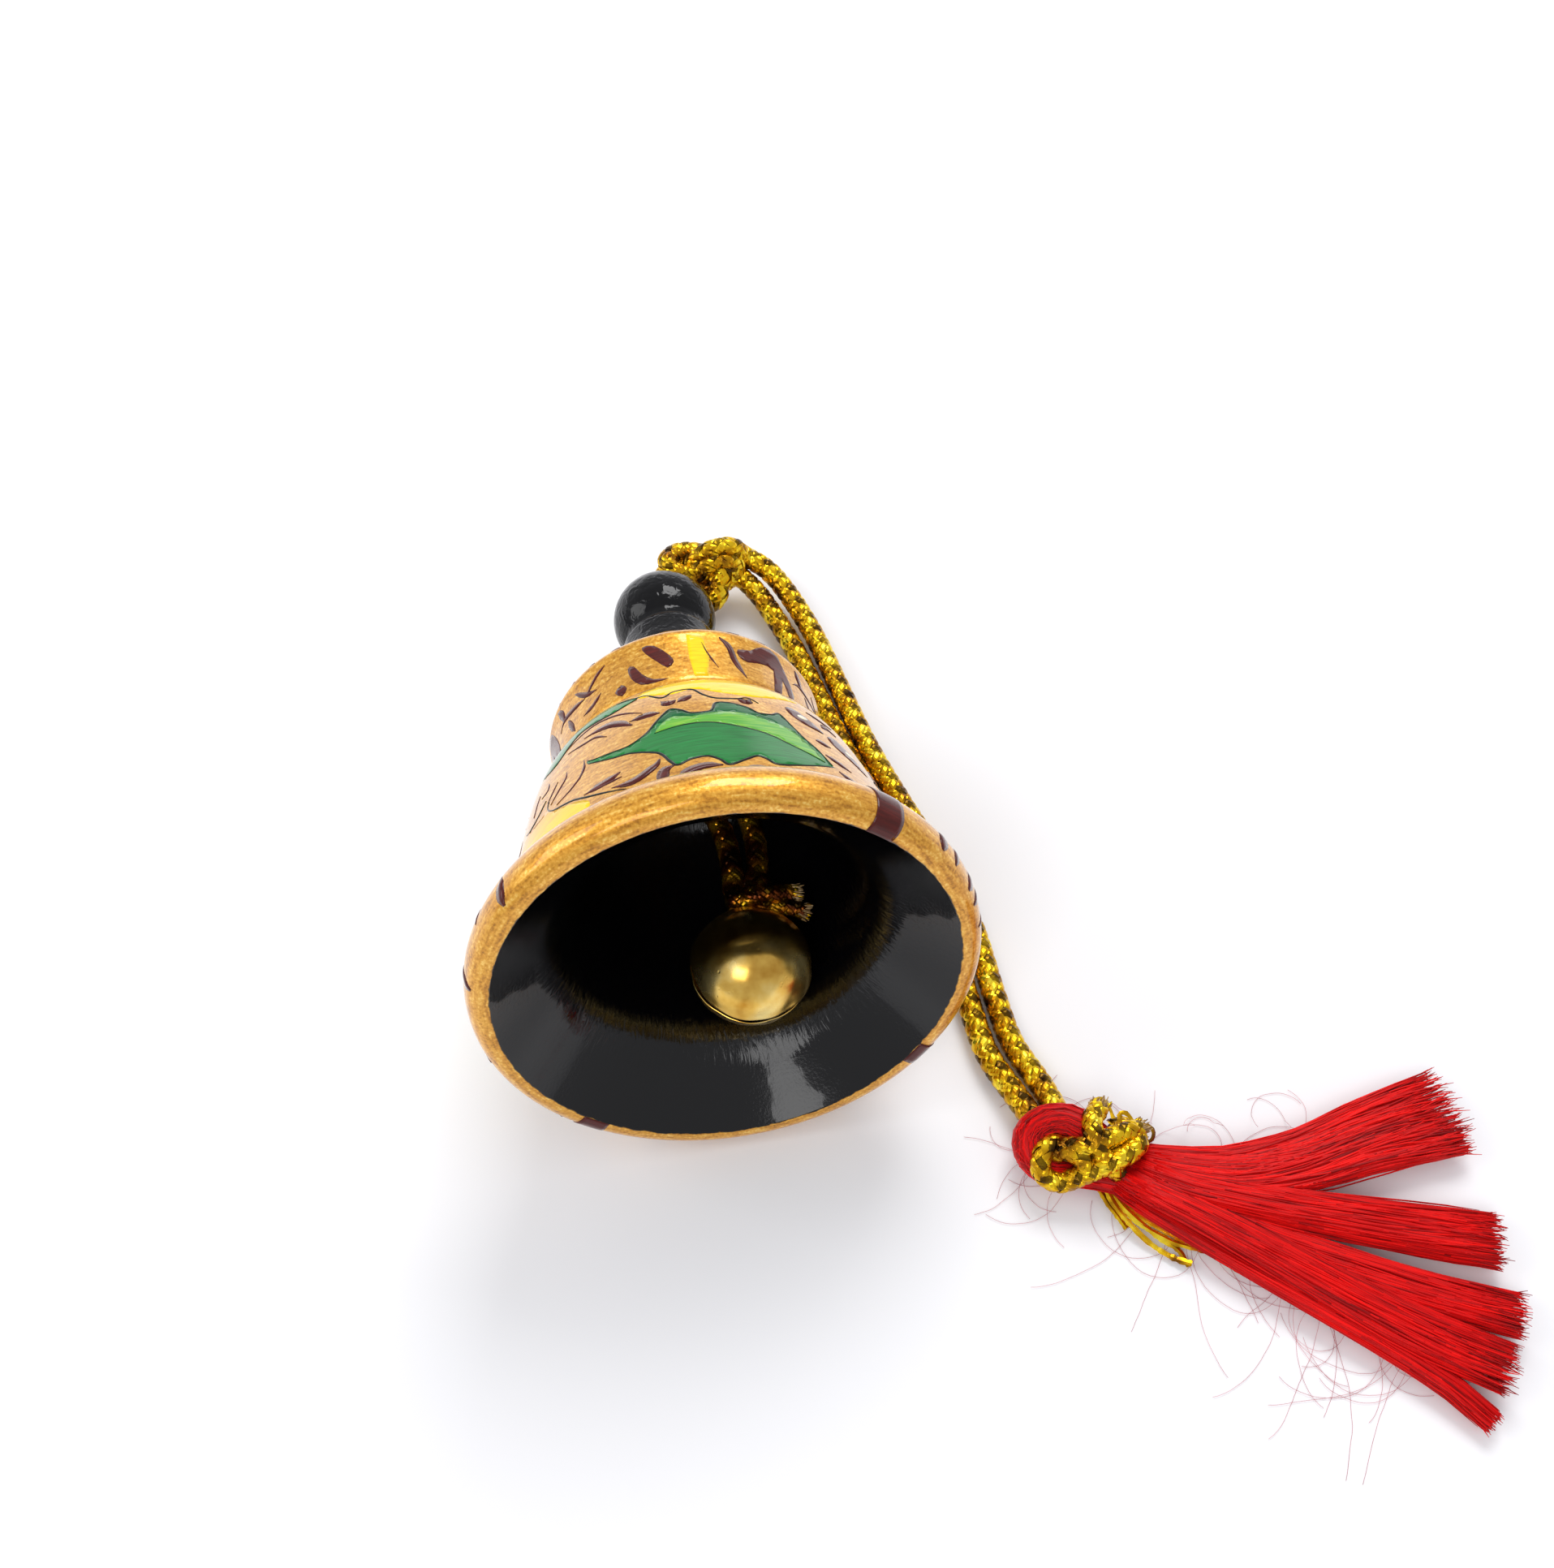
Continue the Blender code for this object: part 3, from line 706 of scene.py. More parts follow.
petalLines = [[(-19.6, 8.1), (-30.3, 10), (-36.5, 11.4), (-44.5, 12.7), (-48, 14.1), (-48.2, 15.5)],
              [(-50.2, 16.3), (-54.1, 15), (-58.4, 14.6), (-62.1, 15.3)]]
leftLeaf = [(-57, 22.6), (-48.5, 21.9), (-39.6, 24.1), (-31.9, 24.1), (-24.4, 23.9), (-16.5, 24.8),
            (-20.0, 25.9), (-30.0, 26.5), (-42.0, 26.6), (-52.0, 25.9), (-62.0, 24.6)]
strokesThin = [
    [(-34.1, 17.5), (-33.9, 15.9), (-35.4, 14.6), (-39, 13.6), (-43.4, 13.1)],
    [(-41.2, 17.8), (-41.4, 16.7), (-43.5, 15.8), (-46.7, 14.3)],
    [(-45.1, 17.6), (-47.3, 16.4), (-48.7, 15.3)],
    [(-50.8, 19.4), (-50.7, 18.2), (-54, 18)],
    [(-56.1, 19.3), (-57.5, 18.1), (-57.8, 16.4)],
    [(-20.8, 10.5), (-23.4, 10.5), (-30.5, 10.7)],
    [(-14.6, 21), (-19.9, 22.3), (-25.8, 23.2), (-34.1, 23.6), (-45.5, 22.6)],
    [(-26.3, 19.4), (-30.5, 20.6), (-35.2, 20.9), (-42.4, 21.5)],
]
strokesWide = [
    [(-21.3, 11.5), (-25.1, 11), (-32.4, 10.8)], [(-10.5, 11.2), (-12.1, 10.2), (-17.6, 8.9), (-23.7, 9.3)],
    [(-7, 9.5), (-9.7, 8.9), (-10.1, 6.8)], [(5, 8.3), (0.8, 8.5), (-3.7, 8), (-7, 6.8)],
    [(-9.2, 20), (-13.7, 20.3), (-18.8, 20.2)], [(-17.8, 19.3), (-22.3, 20.8), (-27.5, 21.7), (-35.6, 22)],
    [(-4.0, 22.0), (-6.5, 21.6), (-8.6, 22.3)], [(1.0, 22.6), (-1.6, 21.9), (-3.6, 21.4)],
    [(15.0, 21.4), (17.5, 20.9), (19.0, 21.6)], [(9.7, 7.2), (13.5, 7.6), (17.3, 7.2)],
    [(20.0, 7.9), (23.5, 7.5), (26.5, 6.9)], [(24.0, 7.9), (28.0, 7.4), (31.4, 6.7)],
    [(36.1, 15.9), (38.6, 15.9), (41.1, 15.6)], [(36.5, 13.2), (40.5, 12.6), (44.1, 11.8)],
    [(38.0, 10.4), (42.0, 9.6), (46.0, 9.3)], [(41.0, 8.0), (45.0, 7.4), (49.0, 7.3)],
    [(43.5, 20.3), (46.5, 21.0), (49.5, 20.2)], [(40.0, 22.6), (45.0, 22.4), (50.0, 21.8)]]
flowers = [[(30.7, 21.5), (33.5, 21.9), (37.5, 20.9), (42.2, 18.8), (40.0, 18.5), (35.0, 18.9), (31.5, 20.0)],
           [(43, 18.3), (47.0, 18.9), (52.0, 17.4), (55, 14.4), (51.5, 14.8), (46.5, 15.9), (43.5, 17.0)]]
flowerDots = [(35.9, 20.4), (50.6, 17.0), (14.0, 7.1), (24.0, 6.9)]


def shifted(points, turn, drop=0.0, flip=1):
    return [(a * flip + turn, s + drop) for a, s in points]


def bellyGroup(p, turn, leafInk=(deepGreen, lime, bottle), flip=1):
    # the leaf, belt, petal and strokes that come round the belly again and again
    def to(points, drop=0.0):
        return shifted(points, turn, drop, flip)
    p.film(to(beltEdge + beltTop), 0.020, yellow)
    p.film(to(leafTop + leafLow), 0.020, leafInk[0], 2)
    p.film(to([(a, s) for a, s in leafTop[5:20]] + leafBand[9:15]), 0.028, leafInk[2], 2)
    p.film(to(leafBand), 0.034, leafInk[1], 2)
    p.film(to(petalFill), 0.020, petal, 2)
    p.film(to(leftLeaf), 0.024, leafInk[0], 2)
    p.stroke(to(leafTop), 0.50, 0.075, ink, (0.4, 0.3))
    p.stroke(to(leafLow), 0.46, 0.075, ink, (0.3, 0.4))
    p.stroke(to(leafVein), 0.36, 0.075, ink, (0.3, 0.3))
    p.stroke(to(scrollLine), 0.44, 0.075, ink, (0.3, 0.3))
    p.stroke(to(leftLeaf[:6]), 0.46, 0.075, ink, (0.4, 0.3))
    for line in petalLines:
        p.stroke(to(line), 0.42, 0.075, ink, (0.3, 0.3))
    for line in strokesThin:
        p.stroke(to(line), 0.44, 0.065, maroon, (0.25, 0.1), 0.4)
    for line in strokesWide:
        p.stroke(to(line), 0.95, 0.065, maroon, (0.35, 0.1), 0.6)
    for line in flowers:
        p.film(to(line), 0.030, maroon, 2)
    for a, s in flowerDots:
        p.dot((a * flip + turn, s), 0.42, 0.045, cream, 1.5)


belly = Paint("bellyPainting", paints)
bellyGroup(belly, 0.0)
bellyGroup(belly, 122.0, (slate, teal, slate))
bellyGroup(belly, 238.0, (deepGreen, lime, bottle), 1)
belly.done()

cap = Paint("capPainting", paints)
capBlobs = [
    [(-13.9, 35.9), (-9.0, 35.7), (-3.6, 33.8), (-2.2, 32.6), (-5.1, 31.8), (-9.0, 33.2), (-13.0, 34.9)],
    [(-21.4, 33.6), (-18.6, 33.6), (-15.8, 31.9), (-11.4, 30.5), (-5.4, 30.1), (-11.0, 29.95),
     (-16.8, 30.3), (-20.5, 31.8)],
    [(25.2, 34.9), (31.0, 35.3), (37.2, 36.6), (45.1, 36.4), (51.3, 32.7), (51.5, 30.2), (48.5, 30.2),
     (46.4, 32.8), (44.0, 30.0), (40.0, 30.0), (41.9, 33.6), (35.0, 33.7), (29.0, 33.2), (25.4, 33.8)],
    [(-28.5, 30.9), (-25.2, 31.6), (-23.0, 30.7), (-25.6, 29.9)],
]
capStrokes = [
    ([(10.1, 35.4), (12, 33.6), (15.4, 31.3)], 0.34),
    ([(17.8, 36.3), (21.6, 35), (23.5, 32.6), (27.2, 30.3)], 1.05),
    ([(56.0, 36.4), (58.5, 35.4), (60.0, 34.2)], 1.3),
    ([(62.0, 33.4), (64.5, 31.8), (66.5, 30.6)], 1.1),
    ([(-30.9, 36), (-36.1, 35.3), (-41.1, 34.2), (-44.4, 33.6)], 0.55),
    ([(-44.4, 33.6), (-52.3, 34), (-60.1, 34.3), (-64.7, 33.6)], 0.8),
    ([(-35.0, 32.4), (-40.0, 31.5), (-46.0, 31.2)], 0.7),
    ([(70.0, 35.6), (76.0, 34.0), (82.0, 33.4)], 0.8),
]
for turn in (0.0, 118.0, 241.0):
    for blob in capBlobs:
        cap.film(shifted(blob, turn), 0.030, maroon, 2)
    cap.film(shifted([(4.4, 36.6), (11.2, 36.2), (12.4, 33.0), (10.6, 29.9), (5.0, 29.9), (4.2, 33.0)], turn),
             0.024, yellow, 1)
    for line, width in capStrokes:
        cap.stroke(shifted(line, turn), width, 0.060, maroon, (0.3, 0.15), 0.3)
# the cap's top: petal, leaf and short strokes between neck and lip
for turn in (15.0, 195.0):
    cap.film(shifted([(-22, 48.5), (-4, 48.8), (14, 47.2), (24, 43.6), (27, 41.0), (14, 39.9), (6, 39.0),
                      (-6, 39.4), (-20, 40.2), (-30, 41.8), (-28, 45.2)], turn), 0.024, capFlower, 2, 0.45)
    cap.stroke(shifted([(-28, 45.2), (-30, 41.8), (-20, 40.2), (-14, 41.0), (-6, 39.4), (2, 40.2), (6, 39.0),
                        (14, 39.9), (20, 41.4), (27, 41.0), (24, 43.6), (14, 47.2)], turn), 0.26, 0.06, ink,
               (0.4, 0.4))
    cap.film(shifted([(76, 49.0), (90, 48.0), (98, 44.6), (104, 41.4), (100, 39.6), (94, 38.9), (88, 40.6),
                      (82, 42.8), (78, 45.2)], turn), 0.024, deepGreen, 2, 0.45)
    cap.film(shifted([(80, 48.2), (89, 46.6), (95, 43.4), (100, 40.6), (96, 39.8), (90, 42.4),
                      (84, 45.2)], turn), 0.032, lime, 2, 0.45)
    cap.stroke(shifted([(76, 49.0), (78, 45.2), (82, 42.8), (86, 42.2), (88, 40.6), (94, 38.9), (100, 39.6),
                        (104, 41.4), (98, 44.6), (90, 48.0)], turn), 0.26, 0.06, ink, (0.4, 0.4))
    for k in range(5):
        a = 38 + k * 6.5
        cap.stroke(shifted([(a, 44.6 - k * 0.5), (a + 3, 42.2), (a + 4, 40.2 - k * 0.25)], turn), 0.42, 0.06,
                   maroon, (0.3, 0.1), 0.6)
    cap.stroke(shifted([(112, 45.2), (118, 44.8), (125, 45.1)], turn), 1.5, 0.06, maroon, (0.6, 0.4), 0.2)
    cap.stroke(shifted([(120, 41.2), (130, 40.6), (139, 41.0), (150, 40.2)], turn), 0.9, 0.06, maroon,
               (0.5, 0.2), 0.4)
for k in range(26):
    a = 20 + k * 12.4
    cap.stroke([(a, 39.2), (a + 3.0, 38.0), (a + 7.0, 37.4)], 0.5 + 0.3 * (k % 3), 0.055, maroon,
               (0.4, 0.15), 0.5)
cap.done()

rimPaint = Paint("rimPainting", paints)
# angle, depth and width of the short marks on the rim
rimMarks = [(57, 0.9, 0.8), (62.8, 0.8, 0.55), (71, 0.6, 0.9), (76, 0.5, 0.7), (83.5, 0.5, 0.6),
            (-51, 0.4, 0.7), (-62, 2.2, 0.6), (-78, 0.4, 0.8), (104, 0.8, 0.8), (127, 0.6, 0.7),
            (151, 0.8, 0.9), (-104, 0.7, 0.7), (-131, 0.6, 0.8), (-158, 0.8, 0.7)]
rimSquare = [(-3.7, -1.0), (3.7, -1.0), (3.5, 3.5), (3.0, 6.0), (-3.0, 6.0), (-3.5, 3.5)]
for a, s, w in rimMarks:
    rimPaint.stroke([(a - 0.6, s), (a, s + 1.2), (a + 0.9, s + 2.8)], w * 1.5, 0.07, maroon, (0.4, 0.15), 0.4)
for turn in (39.5, 128.0, 221.0):
    rimPaint.film(shifted(rimSquare, turn), 0.075, maroon, 1, 0.3)
rimPaint.done()
print("painting is done")


# finial
finialSet = {"steps": 96, "ball": 6.3, "ballAt": 60.4, "flat": 4.4, "bore": 3.25}
ballRise = math.sqrt(finialSet["ball"] ** 2 - finialSet["flat"] ** 2)
holeAt = finialSet["ballAt"] + ballRise
finialLine = [(finialSet["bore"], 44.15), (4.6, 44.15), (4.6, 50.04), (5.72, 50.04), (5.85, 50.15),
              (5.84, 50.5)]
finialLine += [(5.8, 51.0), (5.74, 51.6), (5.7, 52.2), (5.69, 53.0), (5.7, 53.8), (5.68, 54.2),
               (5.5, 54.6), (5.2, 54.9), (4.98, 55.15), (4.9, 55.5), (4.9, 55.9), (5.0, 56.2)]
startTurn = math.atan2(5.0, 56.3 - finialSet["ballAt"])
endTurn = math.atan2(finialSet["flat"], ballRise)
for i in range(1, 41):
    q = startTurn + (endTurn - startTurn) * i / 40
    finialLine.append((finialSet["ball"] * math.sin(q),
                       finialSet["ballAt"] + finialSet["ball"] * math.cos(q)))
rimEdge = len(finialLine)
finialLine += [(4.25, holeAt + 0.06), (4.0, holeAt + 0.04), (3.7, holeAt + 0.02), (3.45, holeAt - 0.1),
               (3.3, holeAt - 0.4)]
finialLine += [(finialSet["bore"], holeAt - 0.8 - k * 2.0) for k in range(10)] + [finialLine[0]]
finial = turnPiece("finialTurned", finialLine, finialSet["steps"])
layUnrolled(finial, finialLine[:-1])
chipArc = lineLength([Vector(p) for p in finialLine[:rimEdge]])
grooveArc = lineLength([Vector(p) for p in finialLine[:15]])
for v in finial.data.vertices:
    r = math.hypot(v.co.x, v.co.y)
    if v.co.z > holeAt - 0.5 and r < finialSet["flat"]:
        # the drill tore the wood round the hole
        v.co.z += 0.16 * noise.noise(Vector((v.co.x * 1.3, v.co.y * 1.3, 4.0))) - 0.10
        k = 1 + 0.035 * noise.noise(Vector((v.co.x * 0.9, v.co.y * 0.9, 9.0)))
        v.co.x *= k
        v.co.y *= k
toBell(finial)
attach(finial, "bell")
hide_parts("finial")


def blackLacquer():
    # black lacquer brushed on thick: wet gloss with ridges; raw brown wood where the drill came out
    m, t, s = startMaterial("blackLacquerOnWood")
    where = addNode(t, "ShaderNodeTexCoord")
    uv = addNode(t, "ShaderNodeSeparateXYZ", {"Vector": where.outputs["UV"]})
    rag = addNode(t, "ShaderNodeTexNoise", {"Vector": where.outputs["Object"], "Scale": 1100.0,
                                            "Detail": 3.0})
    arc = addNode(t, "ShaderNodeMath", {0: rag.outputs["Fac"], 1: 2.4, 2: uv.outputs["Y"]},
                  operation="MULTIPLY_ADD")
    bare = addNode(t, "ShaderNodeMapRange", {"Value": arc.outputs[0], "From Min": chipArc + 1.25,
                                             "From Max": chipArc + 1.5})
    wood = addNode(t, "ShaderNodeValToRGB", {"Fac": rag.outputs["Fac"]},
                   stops=[(0.3, "3B2216"), (0.5, "7A5038"), (0.7, "A87F5E")])
    away = addNode(t, "ShaderNodeMath", {0: uv.outputs["Y"], 1: grooveArc}, operation="SUBTRACT")
    off = addNode(t, "ShaderNodeMath", {0: away.outputs[0]}, operation="ABSOLUTE")
    groove = addNode(t, "ShaderNodeMapRange", {"Value": off.outputs[0], "From Min": 0.5, "From Max": 0.25,
                                               "To Max": 0.6})
    black = addNode(t, "ShaderNodeMix", {"Factor": groove.outputs[0], "A": hexColour("060608"),
                                         "B": hexColour("4A3318")}, data_type="RGBA")
    base = addNode(t, "ShaderNodeMix", {"Factor": bare.outputs[0], "A": black.outputs["Result"],
                                        "B": wood.outputs[0]}, data_type="RGBA")
    rough = addNode(t, "ShaderNodeMapRange", {"Value": bare.outputs[0], "To Min": 0.09, "To Max": 0.8})
    # brush ridges a millimetre apart, worm-like where the lacquer crept
    worm = addNode(t, "ShaderNodeTexNoise", {"Vector": where.outputs["Object"], "Scale": 620.0, "Detail": 2.0,
                                             "Distortion": 1.6})
    bump = addNode(t, "ShaderNodeBump", {"Height": worm.outputs["Fac"], "Strength": 0.55,
                                         "Distance": 0.00022})
    setInputs(t, s, {"Base Color": base.outputs["Result"], "Roughness": rough.outputs[0],
                     "Normal": bump.outputs[0], "Specular IOR Level": 0.26})
    return m


finial.data.materials.append(blackLacquer())
smoothTurned(finial)
print("finial is turned")


# jingle bell
jingleSet = {"radius": 6.5, "sheet": 0.2, "slit": 0.7, "at": (8.9, 2.8, -7.3), "eyeGap": 1.6, "tieGap": 0.3,
             "lean": 2.6, "cord": 1.22}
pivot = boreMouth / mm
jingleAt = inBell(*jingleSet["at"]) / mm
hang = (jingleAt - pivot).normalized()
slitSide = Vector((-0.972, -0.175, 0.155))
slitSide = (slitSide - hang * slitSide.dot(hang)).normalized()
shellFront = slitSide.cross(hang).normalized()
shellFront = shellFront if shellFront.z > 0 else -shellFront


def dentedShell(name, normal, seed):
    # half a pressed brass ball: cut from a ball, given a wall, then dented with a blunt tool
    deselect()
    bpy.ops.mesh.primitive_uv_sphere_add(segments=96, ring_count=60, radius=jingleSet["radius"] - 0.25,
                                         location=(0, 0, 0))
    ob = bpy.context.object
    ob.name = name
    bpy.ops.object.mode_set(mode="EDIT")
    bpy.ops.mesh.select_all(action="SELECT")
    bpy.ops.mesh.bisect(plane_co=(0, 0, jingleSet["slit"] / 2), plane_no=(0, 0, 1), clear_inner=True)
    bpy.ops.object.mode_set(mode="OBJECT")
    for v in ob.data.vertices:
        d = v.co.normalized()
        low = max(0.0, 1 - (v.co.z - jingleSet["slit"] / 2) / 0.9)
        soft = noise.noise(d * 1.35 + Vector((seed, 0, 0)))
        fine = noise.noise(d * 4.2 + Vector((0, seed, 3)))
        ridge = abs(noise.noise(d * 1.1 + Vector((2, seed, 7))))
        v.co += d * (0.22 * soft + 0.05 * fine - 0.42 * max(0.0, 0.25 - ridge) + 0.12 * low * low - 0.04)
    wallMod = ob.modifiers.new("wall", "SOLIDIFY")
    wallMod.thickness = jingleSet["sheet"]
    wallMod.offset = -1
    bpy.ops.object.modifier_apply(modifier="wall")
    bevel = ob.modifiers.new("lip", "BEVEL")
    bevel.width = 0.12
    bevel.segments = 2
    bevel.angle_limit = math.radians(55)
    bpy.ops.object.modifier_apply(modifier="lip")
    place = Matrix((hang, normal.cross(hang), normal)).transposed().to_4x4()
    place.translation = jingleAt * mm
    ob.data.transform(place @ Matrix.Scale(mm, 4))
    ob.data.update()
    bpy.ops.object.shade_smooth_by_angle(angle=math.radians(40))
    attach(ob, "clapper")
    return ob


def pressedBrass():
    # thin brass sheet, tumbled bright: soft waves of the press and 0.2 mm pits
    yellows = [(0.32, "C08C34"), (0.5, "E6BC5C"), (0.7, "F8DE90")]
    m, t, s, where, tone = driftingColour("pressedBrass", 260.0, yellows, 4.0)
    pits = addNode(t, "ShaderNodeTexVoronoi", {"Vector": where, "Scale": 900.0})
    pit = addNode(t, "ShaderNodeMapRange", {"Value": pits.outputs["Distance"], "From Max": 0.16})
    bump = addNode(t, "ShaderNodeBump", {"Height": pit.outputs[0], "Strength": 0.35, "Distance": 0.00006})
    rough = addNode(t, "ShaderNodeMapRange", {"Value": tone, "To Min": 0.16, "To Max": 0.34})
    setInputs(t, s, {"Normal": bump.outputs[0], "Roughness": rough.outputs[0], "Metallic": 1.0})
    return m


brassMat = pressedBrass()
for name, normal, seed, node in (("jingleFront", shellFront, 1.7, "jingle_shell_front"),
                                 ("jingleBack", -shellFront, 6.1, "jingle_shell_back")):
    shell = dentedShell(name, normal, seed)
    shell.data.materials.append(brassMat)
    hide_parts(node)

steels = [(0.4, "6E6A66"), (0.6, "8C8A88"), (0.75, "6B4A34")]
peaMat, tree, shader, where, rust = driftingColour("steelShot", 900.0, steels, 3.0)
setInputs(tree, shader, {"Metallic": 1.0, "Roughness": 0.38})
for slotRow in bpy.data.objects["jingle_pea"].material_slots:
    slotRow.material = peaMat
for slotRow in bpy.data.objects["jingle_eye"].material_slots:
    slotRow.material = brassMat
print("jingle bell is pressed")

# cord through the bore, and its knot
eyeAt = jingleAt - hang * (jingleSet["radius"] + jingleSet["eyeGap"])
tieAt = eyeAt - hang * jingleSet["tieGap"]
acrossHang = hang.cross(shellFront).normalized()
holeMm = mouthCentre / mm + bellAxis * holeAt
for name, sign, nodes in (("innerCordLeft", -1, ("bore_strand_left", "clapper_strand_left")),
                          ("innerCordRight", 1, ("bore_strand_right", "clapper_strand_right"))):
    sideHang = acrossHang * (-sign * 1.5)
    sideBore = crossAxis * (sign * 1.5)
    path = [holeMm + bellAxis * (1.4 - k * 4.6) + sideBore for k in range(7)]
    lean = crossAxis * jingleSet["lean"]
    path += [pivot + bellAxis * 1.5 + sideBore * 0.98, pivot + hang * 1.6 + sideHang + lean * 0.2]
    path += [pivot + hang * 5.0 + sideHang * 1.2 + lean * 0.8,
             pivot + hang * 9.5 + sideHang * 1.1 + lean * 1.1]
    path += [tieAt - hang * 2.6 + sideHang * 0.9 + lean * 0.9,
             tieAt - hang * 0.4 + sideHang * 0.55 + lean * 0.5]
    # the cord in the bore takes the foil with painted shade of the hollow
    ob, line = braid(name, smoothLine(path, 8), radius=jingleSet["cord"], foil=hollowShadeFoil)
    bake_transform(ob)
    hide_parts(*nodes)


def knotPath(centre, x, y, z, sizes, spread, count=60):
    # an overhand knot: three crossings, ends leaving both ways
    out = []
    for i in range(count):
        q = spread * (2 * i / (count - 1) - 1)
        out.append(Vector(centre) + x * (sizes[0] * (math.sin(q) + 2 * math.sin(2 * q)))
                   + y * (sizes[1] * (math.cos(q) - 2 * math.cos(2 * q))) + z * (sizes[2] * -math.sin(3 * q)))
    return out


tans = [(0.35, "7A5A34"), (0.55, "B08D5A"), (0.7, "D8BE90")]
tanFibre, tree, shader, where, fuzz = driftingColour("tanCoreFibre", 1800.0, tans, 3.0)
lift = addNode(tree, "ShaderNodeBump", {"Height": fuzz, "Strength": 0.9, "Distance": 0.0002})
setInputs(tree, shader, {"Normal": lift.outputs[0], "Roughness": 0.85})


def cutEnd(name, centre, direction, radius, body, seed):
    # the cord's cut end: a tuft of tan core fibres with a few foil strips standing out
    rnd = random.Random(seed)
    verts, faces, which = [], [], []
    d = Vector(direction).normalized()
    x = d.orthogonal().normalized()
    y = d.cross(x)
    for k in range(70):
        a, r = rnd.uniform(0, math.tau), radius * math.sqrt(rnd.random()) * 0.92
        base = Vector(centre) + (x * math.cos(a) + y * math.sin(a)) * r
        lean = (d + (x * math.cos(a) + y * math.sin(a)) * rnd.uniform(-0.1, 0.55)).normalized()
        long = rnd.uniform(0.35, 0.95) * radius
        foil = k % 5 == 0
        w = 0.16 if foil else 0.10
        n = len(verts)
        u = lean.orthogonal().normalized()
        v = lean.cross(u)
        for at, s in ((-0.5, 1.0), (long * 0.6, 1.0), (long, 0.5)):
            for q in range(4):
                c, e = math.cos(q * math.pi / 2), math.sin(q * math.pi / 2)
                verts.append((base + lean * at + (u * c + v * e * (0.3 if foil else 1.0)) * w * s) * mm)
        faces += tubeFaces(n, 3, 4)
        which += [0 if foil else 1] * 10
    ob = meshObject(name, verts, faces, [foilMat, tanFibre], which)
    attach(ob, body)
    return ob


knotX = -acrossHang if -acrossHang.x > 0 else acrossHang
clapperRoutes = {
    # aside, down the hanging line and towards the front shell, from the tie
    "clapperKnotA": [(-0.6, -0.6, 0.4), (-0.9, 0.6, 0.7), (0.2, 1.3, 1.2), (1.7, 0.9, 1.5), (2.6, -0.4, 1.2),
                     (2.2, -1.3, 0.2), (1.0, -1.2, -0.8), (0.6, 0.0, -1.4), (1.6, 1.1, -1.4)],
    "clapperKnotB": [(0.6, -0.4, 0.9), (1.8, 0.1, 1.7), (3.0, 0.1, 1.7), (4.3, -0.2, 1.5), (5.4, -0.3, 1.2)],
    "clapperKnotC": [(0.4, 0.8, -0.4), (1.8, 1.0, 0.3), (3.4, 1.1, 0.7), (4.9, 1.1, 0.6), (6.0, 1.3, 0.4)],
}
for k, (name, route) in enumerate(clapperRoutes.items()):
    low = 1.0 if k else 0.4      # the two ends drop beside the jingle bell
    path = smoothLine([tieAt + knotX * (a + 0.9) + hang * (d + low + 0.22 * a * bool(k))
                       + shellFront * (f + 0.5) for a, d, f in route], 8)
    # the knot inside the bell also takes the foil with painted shade of the hollow
    ob, line = braid(name, path, radius=0.92, step=0.2, foil=hollowShadeFoil)
    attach(ob, "clapper")
    if k:
        cutEnd(f"clapperCutFibres{k}", path[-1], path[-1] - path[-4], 1.0, "clapper", 11 + k)
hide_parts("clapper_knot")

# stop knot behind the ball
stopKnotAt = Vector((5.9, 38.0, 5.4))
for name, off in (("stopKnotA", Vector((0.4, 0.9, 0.7))), ("stopKnotB", Vector((-0.4, -0.9, -0.7)))):
    path = knotPath(stopKnotAt + off * 0.8, Vector((1, 0, 0)), Vector((0.05, 0.75, 0.66)).normalized(),
                    Vector((-0.05, -0.66, 0.75)).normalized(), (1.72, 1.05, 1.2), 3.08, 80)
    ob, line = braid(name, path, radius=1.3, step=0.22)
    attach(ob, "hanger_knot")
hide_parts("stop_knot")
print("knots are tied")


# tassel of rayon floss; a hair is drawn several times too thick so that it shows
flossSet = {"spacing": 0.8, "heartSides": 28, "hair": 0.10, "tip": 0.03, "hairSteps": 10, "floor": 0.12,
            "stray": 0.022, "strays": 58}


def redFloss(name, stops, rough=0.42):
    # untwisted viscose filament, silky: the colour ramp paints light running in long streaks as painted
    # highlight, and deep red gaps as painted shade
    m, t, s = startMaterial(name)
    where = addNode(t, "ShaderNodeTexCoord")
    stretch = addNode(t, "ShaderNodeMapping", {"Vector": where.outputs["UV"], "Scale": (1.0, 0.03, 1)})
    streak = addNode(t, "ShaderNodeTexNoise", {"Vector": stretch.outputs[0], "Scale": 2.2, "Detail": 4.0})
    colour = addNode(t, "ShaderNodeValToRGB", {"Fac": streak.outputs["Fac"]}, stops=stops)
    bump = addNode(t, "ShaderNodeBump", {"Height": streak.outputs["Fac"], "Strength": 0.6,
                                         "Distance": 0.0002})
    setInputs(t, s, {"Base Color": colour.outputs[0], "Normal": bump.outputs[0], "Roughness": rough,
                     "Sheen Weight": 0.05, "Sheen Roughness": 0.4, "Specular IOR Level": 0.16})
    return m


# the solid heart under the filaments is a darker copy of the same floss: painted shade between the filaments
shadedFlossBody = redFloss("shadedRedFlossBody", [(0.34, "640105"), (0.46, "A80307"), (0.60, "DC0808")])
flossHair = redFloss("redFlossFilament", [(0.34, "840206"), (0.48, "CE0507"), (0.64, "F80F0A")])


